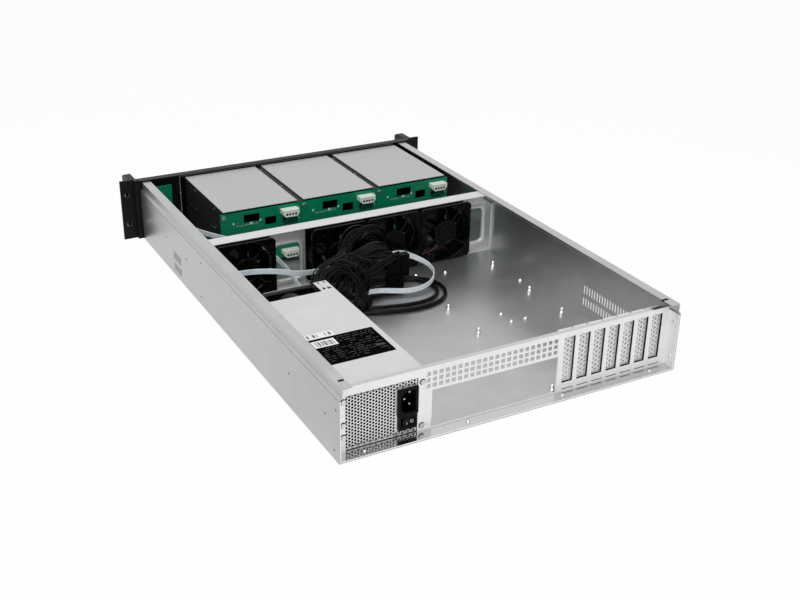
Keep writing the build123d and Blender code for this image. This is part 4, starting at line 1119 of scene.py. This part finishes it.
prints = [span for span in prints if span[2][0] > board_foot]
blocks("backplane_marks", prints, print_white)
blocks("backplane_connectors", connectors, black_shell_and_painted_shade, 0.0002)
blocks("backplane_contacts", teeth, board_green)

# Power sockets: ivory nylon shells, two on each backplane and soldered to it, each with four
# contact holes drawn as flat dark discs: painted shade of the holes.
ivory = finish("ivory_plastic", (0.74, 0.8, 0.72), 0.4, grain=200.0, tint=0.04)
dress(["power_sockets"], ivory, 0.0003)
hole_shade_disc = ((0.0016, 0.0), (0.0016, 0.0001), (0.0002, 0.0001))
fills, hole_shade_discs = [], []
for middle in board_middles:
    for socket_z in (0.012, 0.072):
        socket_x = middle - 0.0394
        fills.append((about(socket_x, 0.0069), (-0.1405, -0.132), about(socket_z, 0.0019)))
        for x in (-0.0066, -0.0022, 0.0022, 0.0066):
            mouth = (socket_x + x, -0.1319, socket_z - 0.001)
            hole_shade_discs.append(turned(hole_shade_disc, mouth, (0, 1, 0), 14))
blocks("socket_faces", fills, ivory)
piece("socket_hole_shades", joined(hole_shade_discs), black_shell_and_painted_shade)

# Front panel: a shallow folded pan of steel in black powder coat, with the drives' window and
# two button holes. It is screwed to the front of the tray.
panel_black = finish("panel_black", (0.006, 0.006, 0.0065), 0.4, grain=300.0, tint=0.15, gloss=0.14)
dress(["front_panel"], panel_black, 0.0004)

# Rack ears: black painted castings, each in one with its bow handle, screwed to the tray's
# sides.
casting = finish("black_casting", (0.005, 0.005, 0.0055), 0.4, grain=400.0, tint=0.2, gloss=0.12)
dress(["ear_handle_left", "ear_handle_right"], casting, 0.0008)

# Drive trays and their levers: black moulded bezels on black rails. They slide in the cage,
# and each lever turns on a pin in its tray.
for number in range(1, 10):
    dress([f"drive_tray_{number}", f"tray_lever_{number}"], black_plastic, 0.0005)

# Control board: a small green board behind the panel, with the power and the reset button,
# which are black moulded caps that slide through the panel.
dress(["control_board"], board_green)
dress(["power_button", "reset_button"], black_plastic, 0.0003)

# Screws: bright pan heads of plated steel, as packed, which hold the boards, the cage and the
# supply.
dress(["screws"], bright_steel, 0.0003)

# Stand-offs and studs: turned steel pillars with a foot, a rounded top and a thread hole,
# clinched into the floor where a main board would be screwed down.
pillar_steel = finish("pillar_steel", (0.8, 0.8, 0.79), 0.2, metal=0.9, grain=300.0, tint=0.05)
tall = (
    (0.003, 0.0012), (0.003, 0.002), (0.0024, 0.0023), (0.0024, 0.007), (0.0021, 0.0077),
    (0.0013, 0.0077), (0.0012, 0.006), (0.0002, 0.006),
)
short = (
    (0.0028, 0.0012), (0.0027, 0.0026), (0.0022, 0.0033), (0.0013, 0.0034), (0.0012, 0.0024),
    (0.0002, 0.0024),
)
first_x, first_y, rear_edge = 0.0977, 0.3235, 0.3475
columns, rows = (0.0, 0.15748, 0.28194), (0.0, 0.15494, 0.22733)
places = [(tall, first_x - column, first_y - row) for column in columns for row in rows]
places.append((tall, first_x - columns[-1], first_y - 0.3175))
places += [
    (short, x, rear_edge - back)
    for x, back in (
        (-0.113, 0.35), (-0.0725, 0.359), (-0.1907, 0.283), (-0.1115, 0.208), (-0.1125, 0.1855),
        (-0.1327, 0.1847),
    )
]
pillar_shapes = [turned(shape, (x, y, 0.0), (0, 0, 1), 16) for shape, x, y in places]
pillars = piece("standoff_pillars", joined(pillar_shapes), pillar_steel)
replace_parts(pillars, "standoffs")
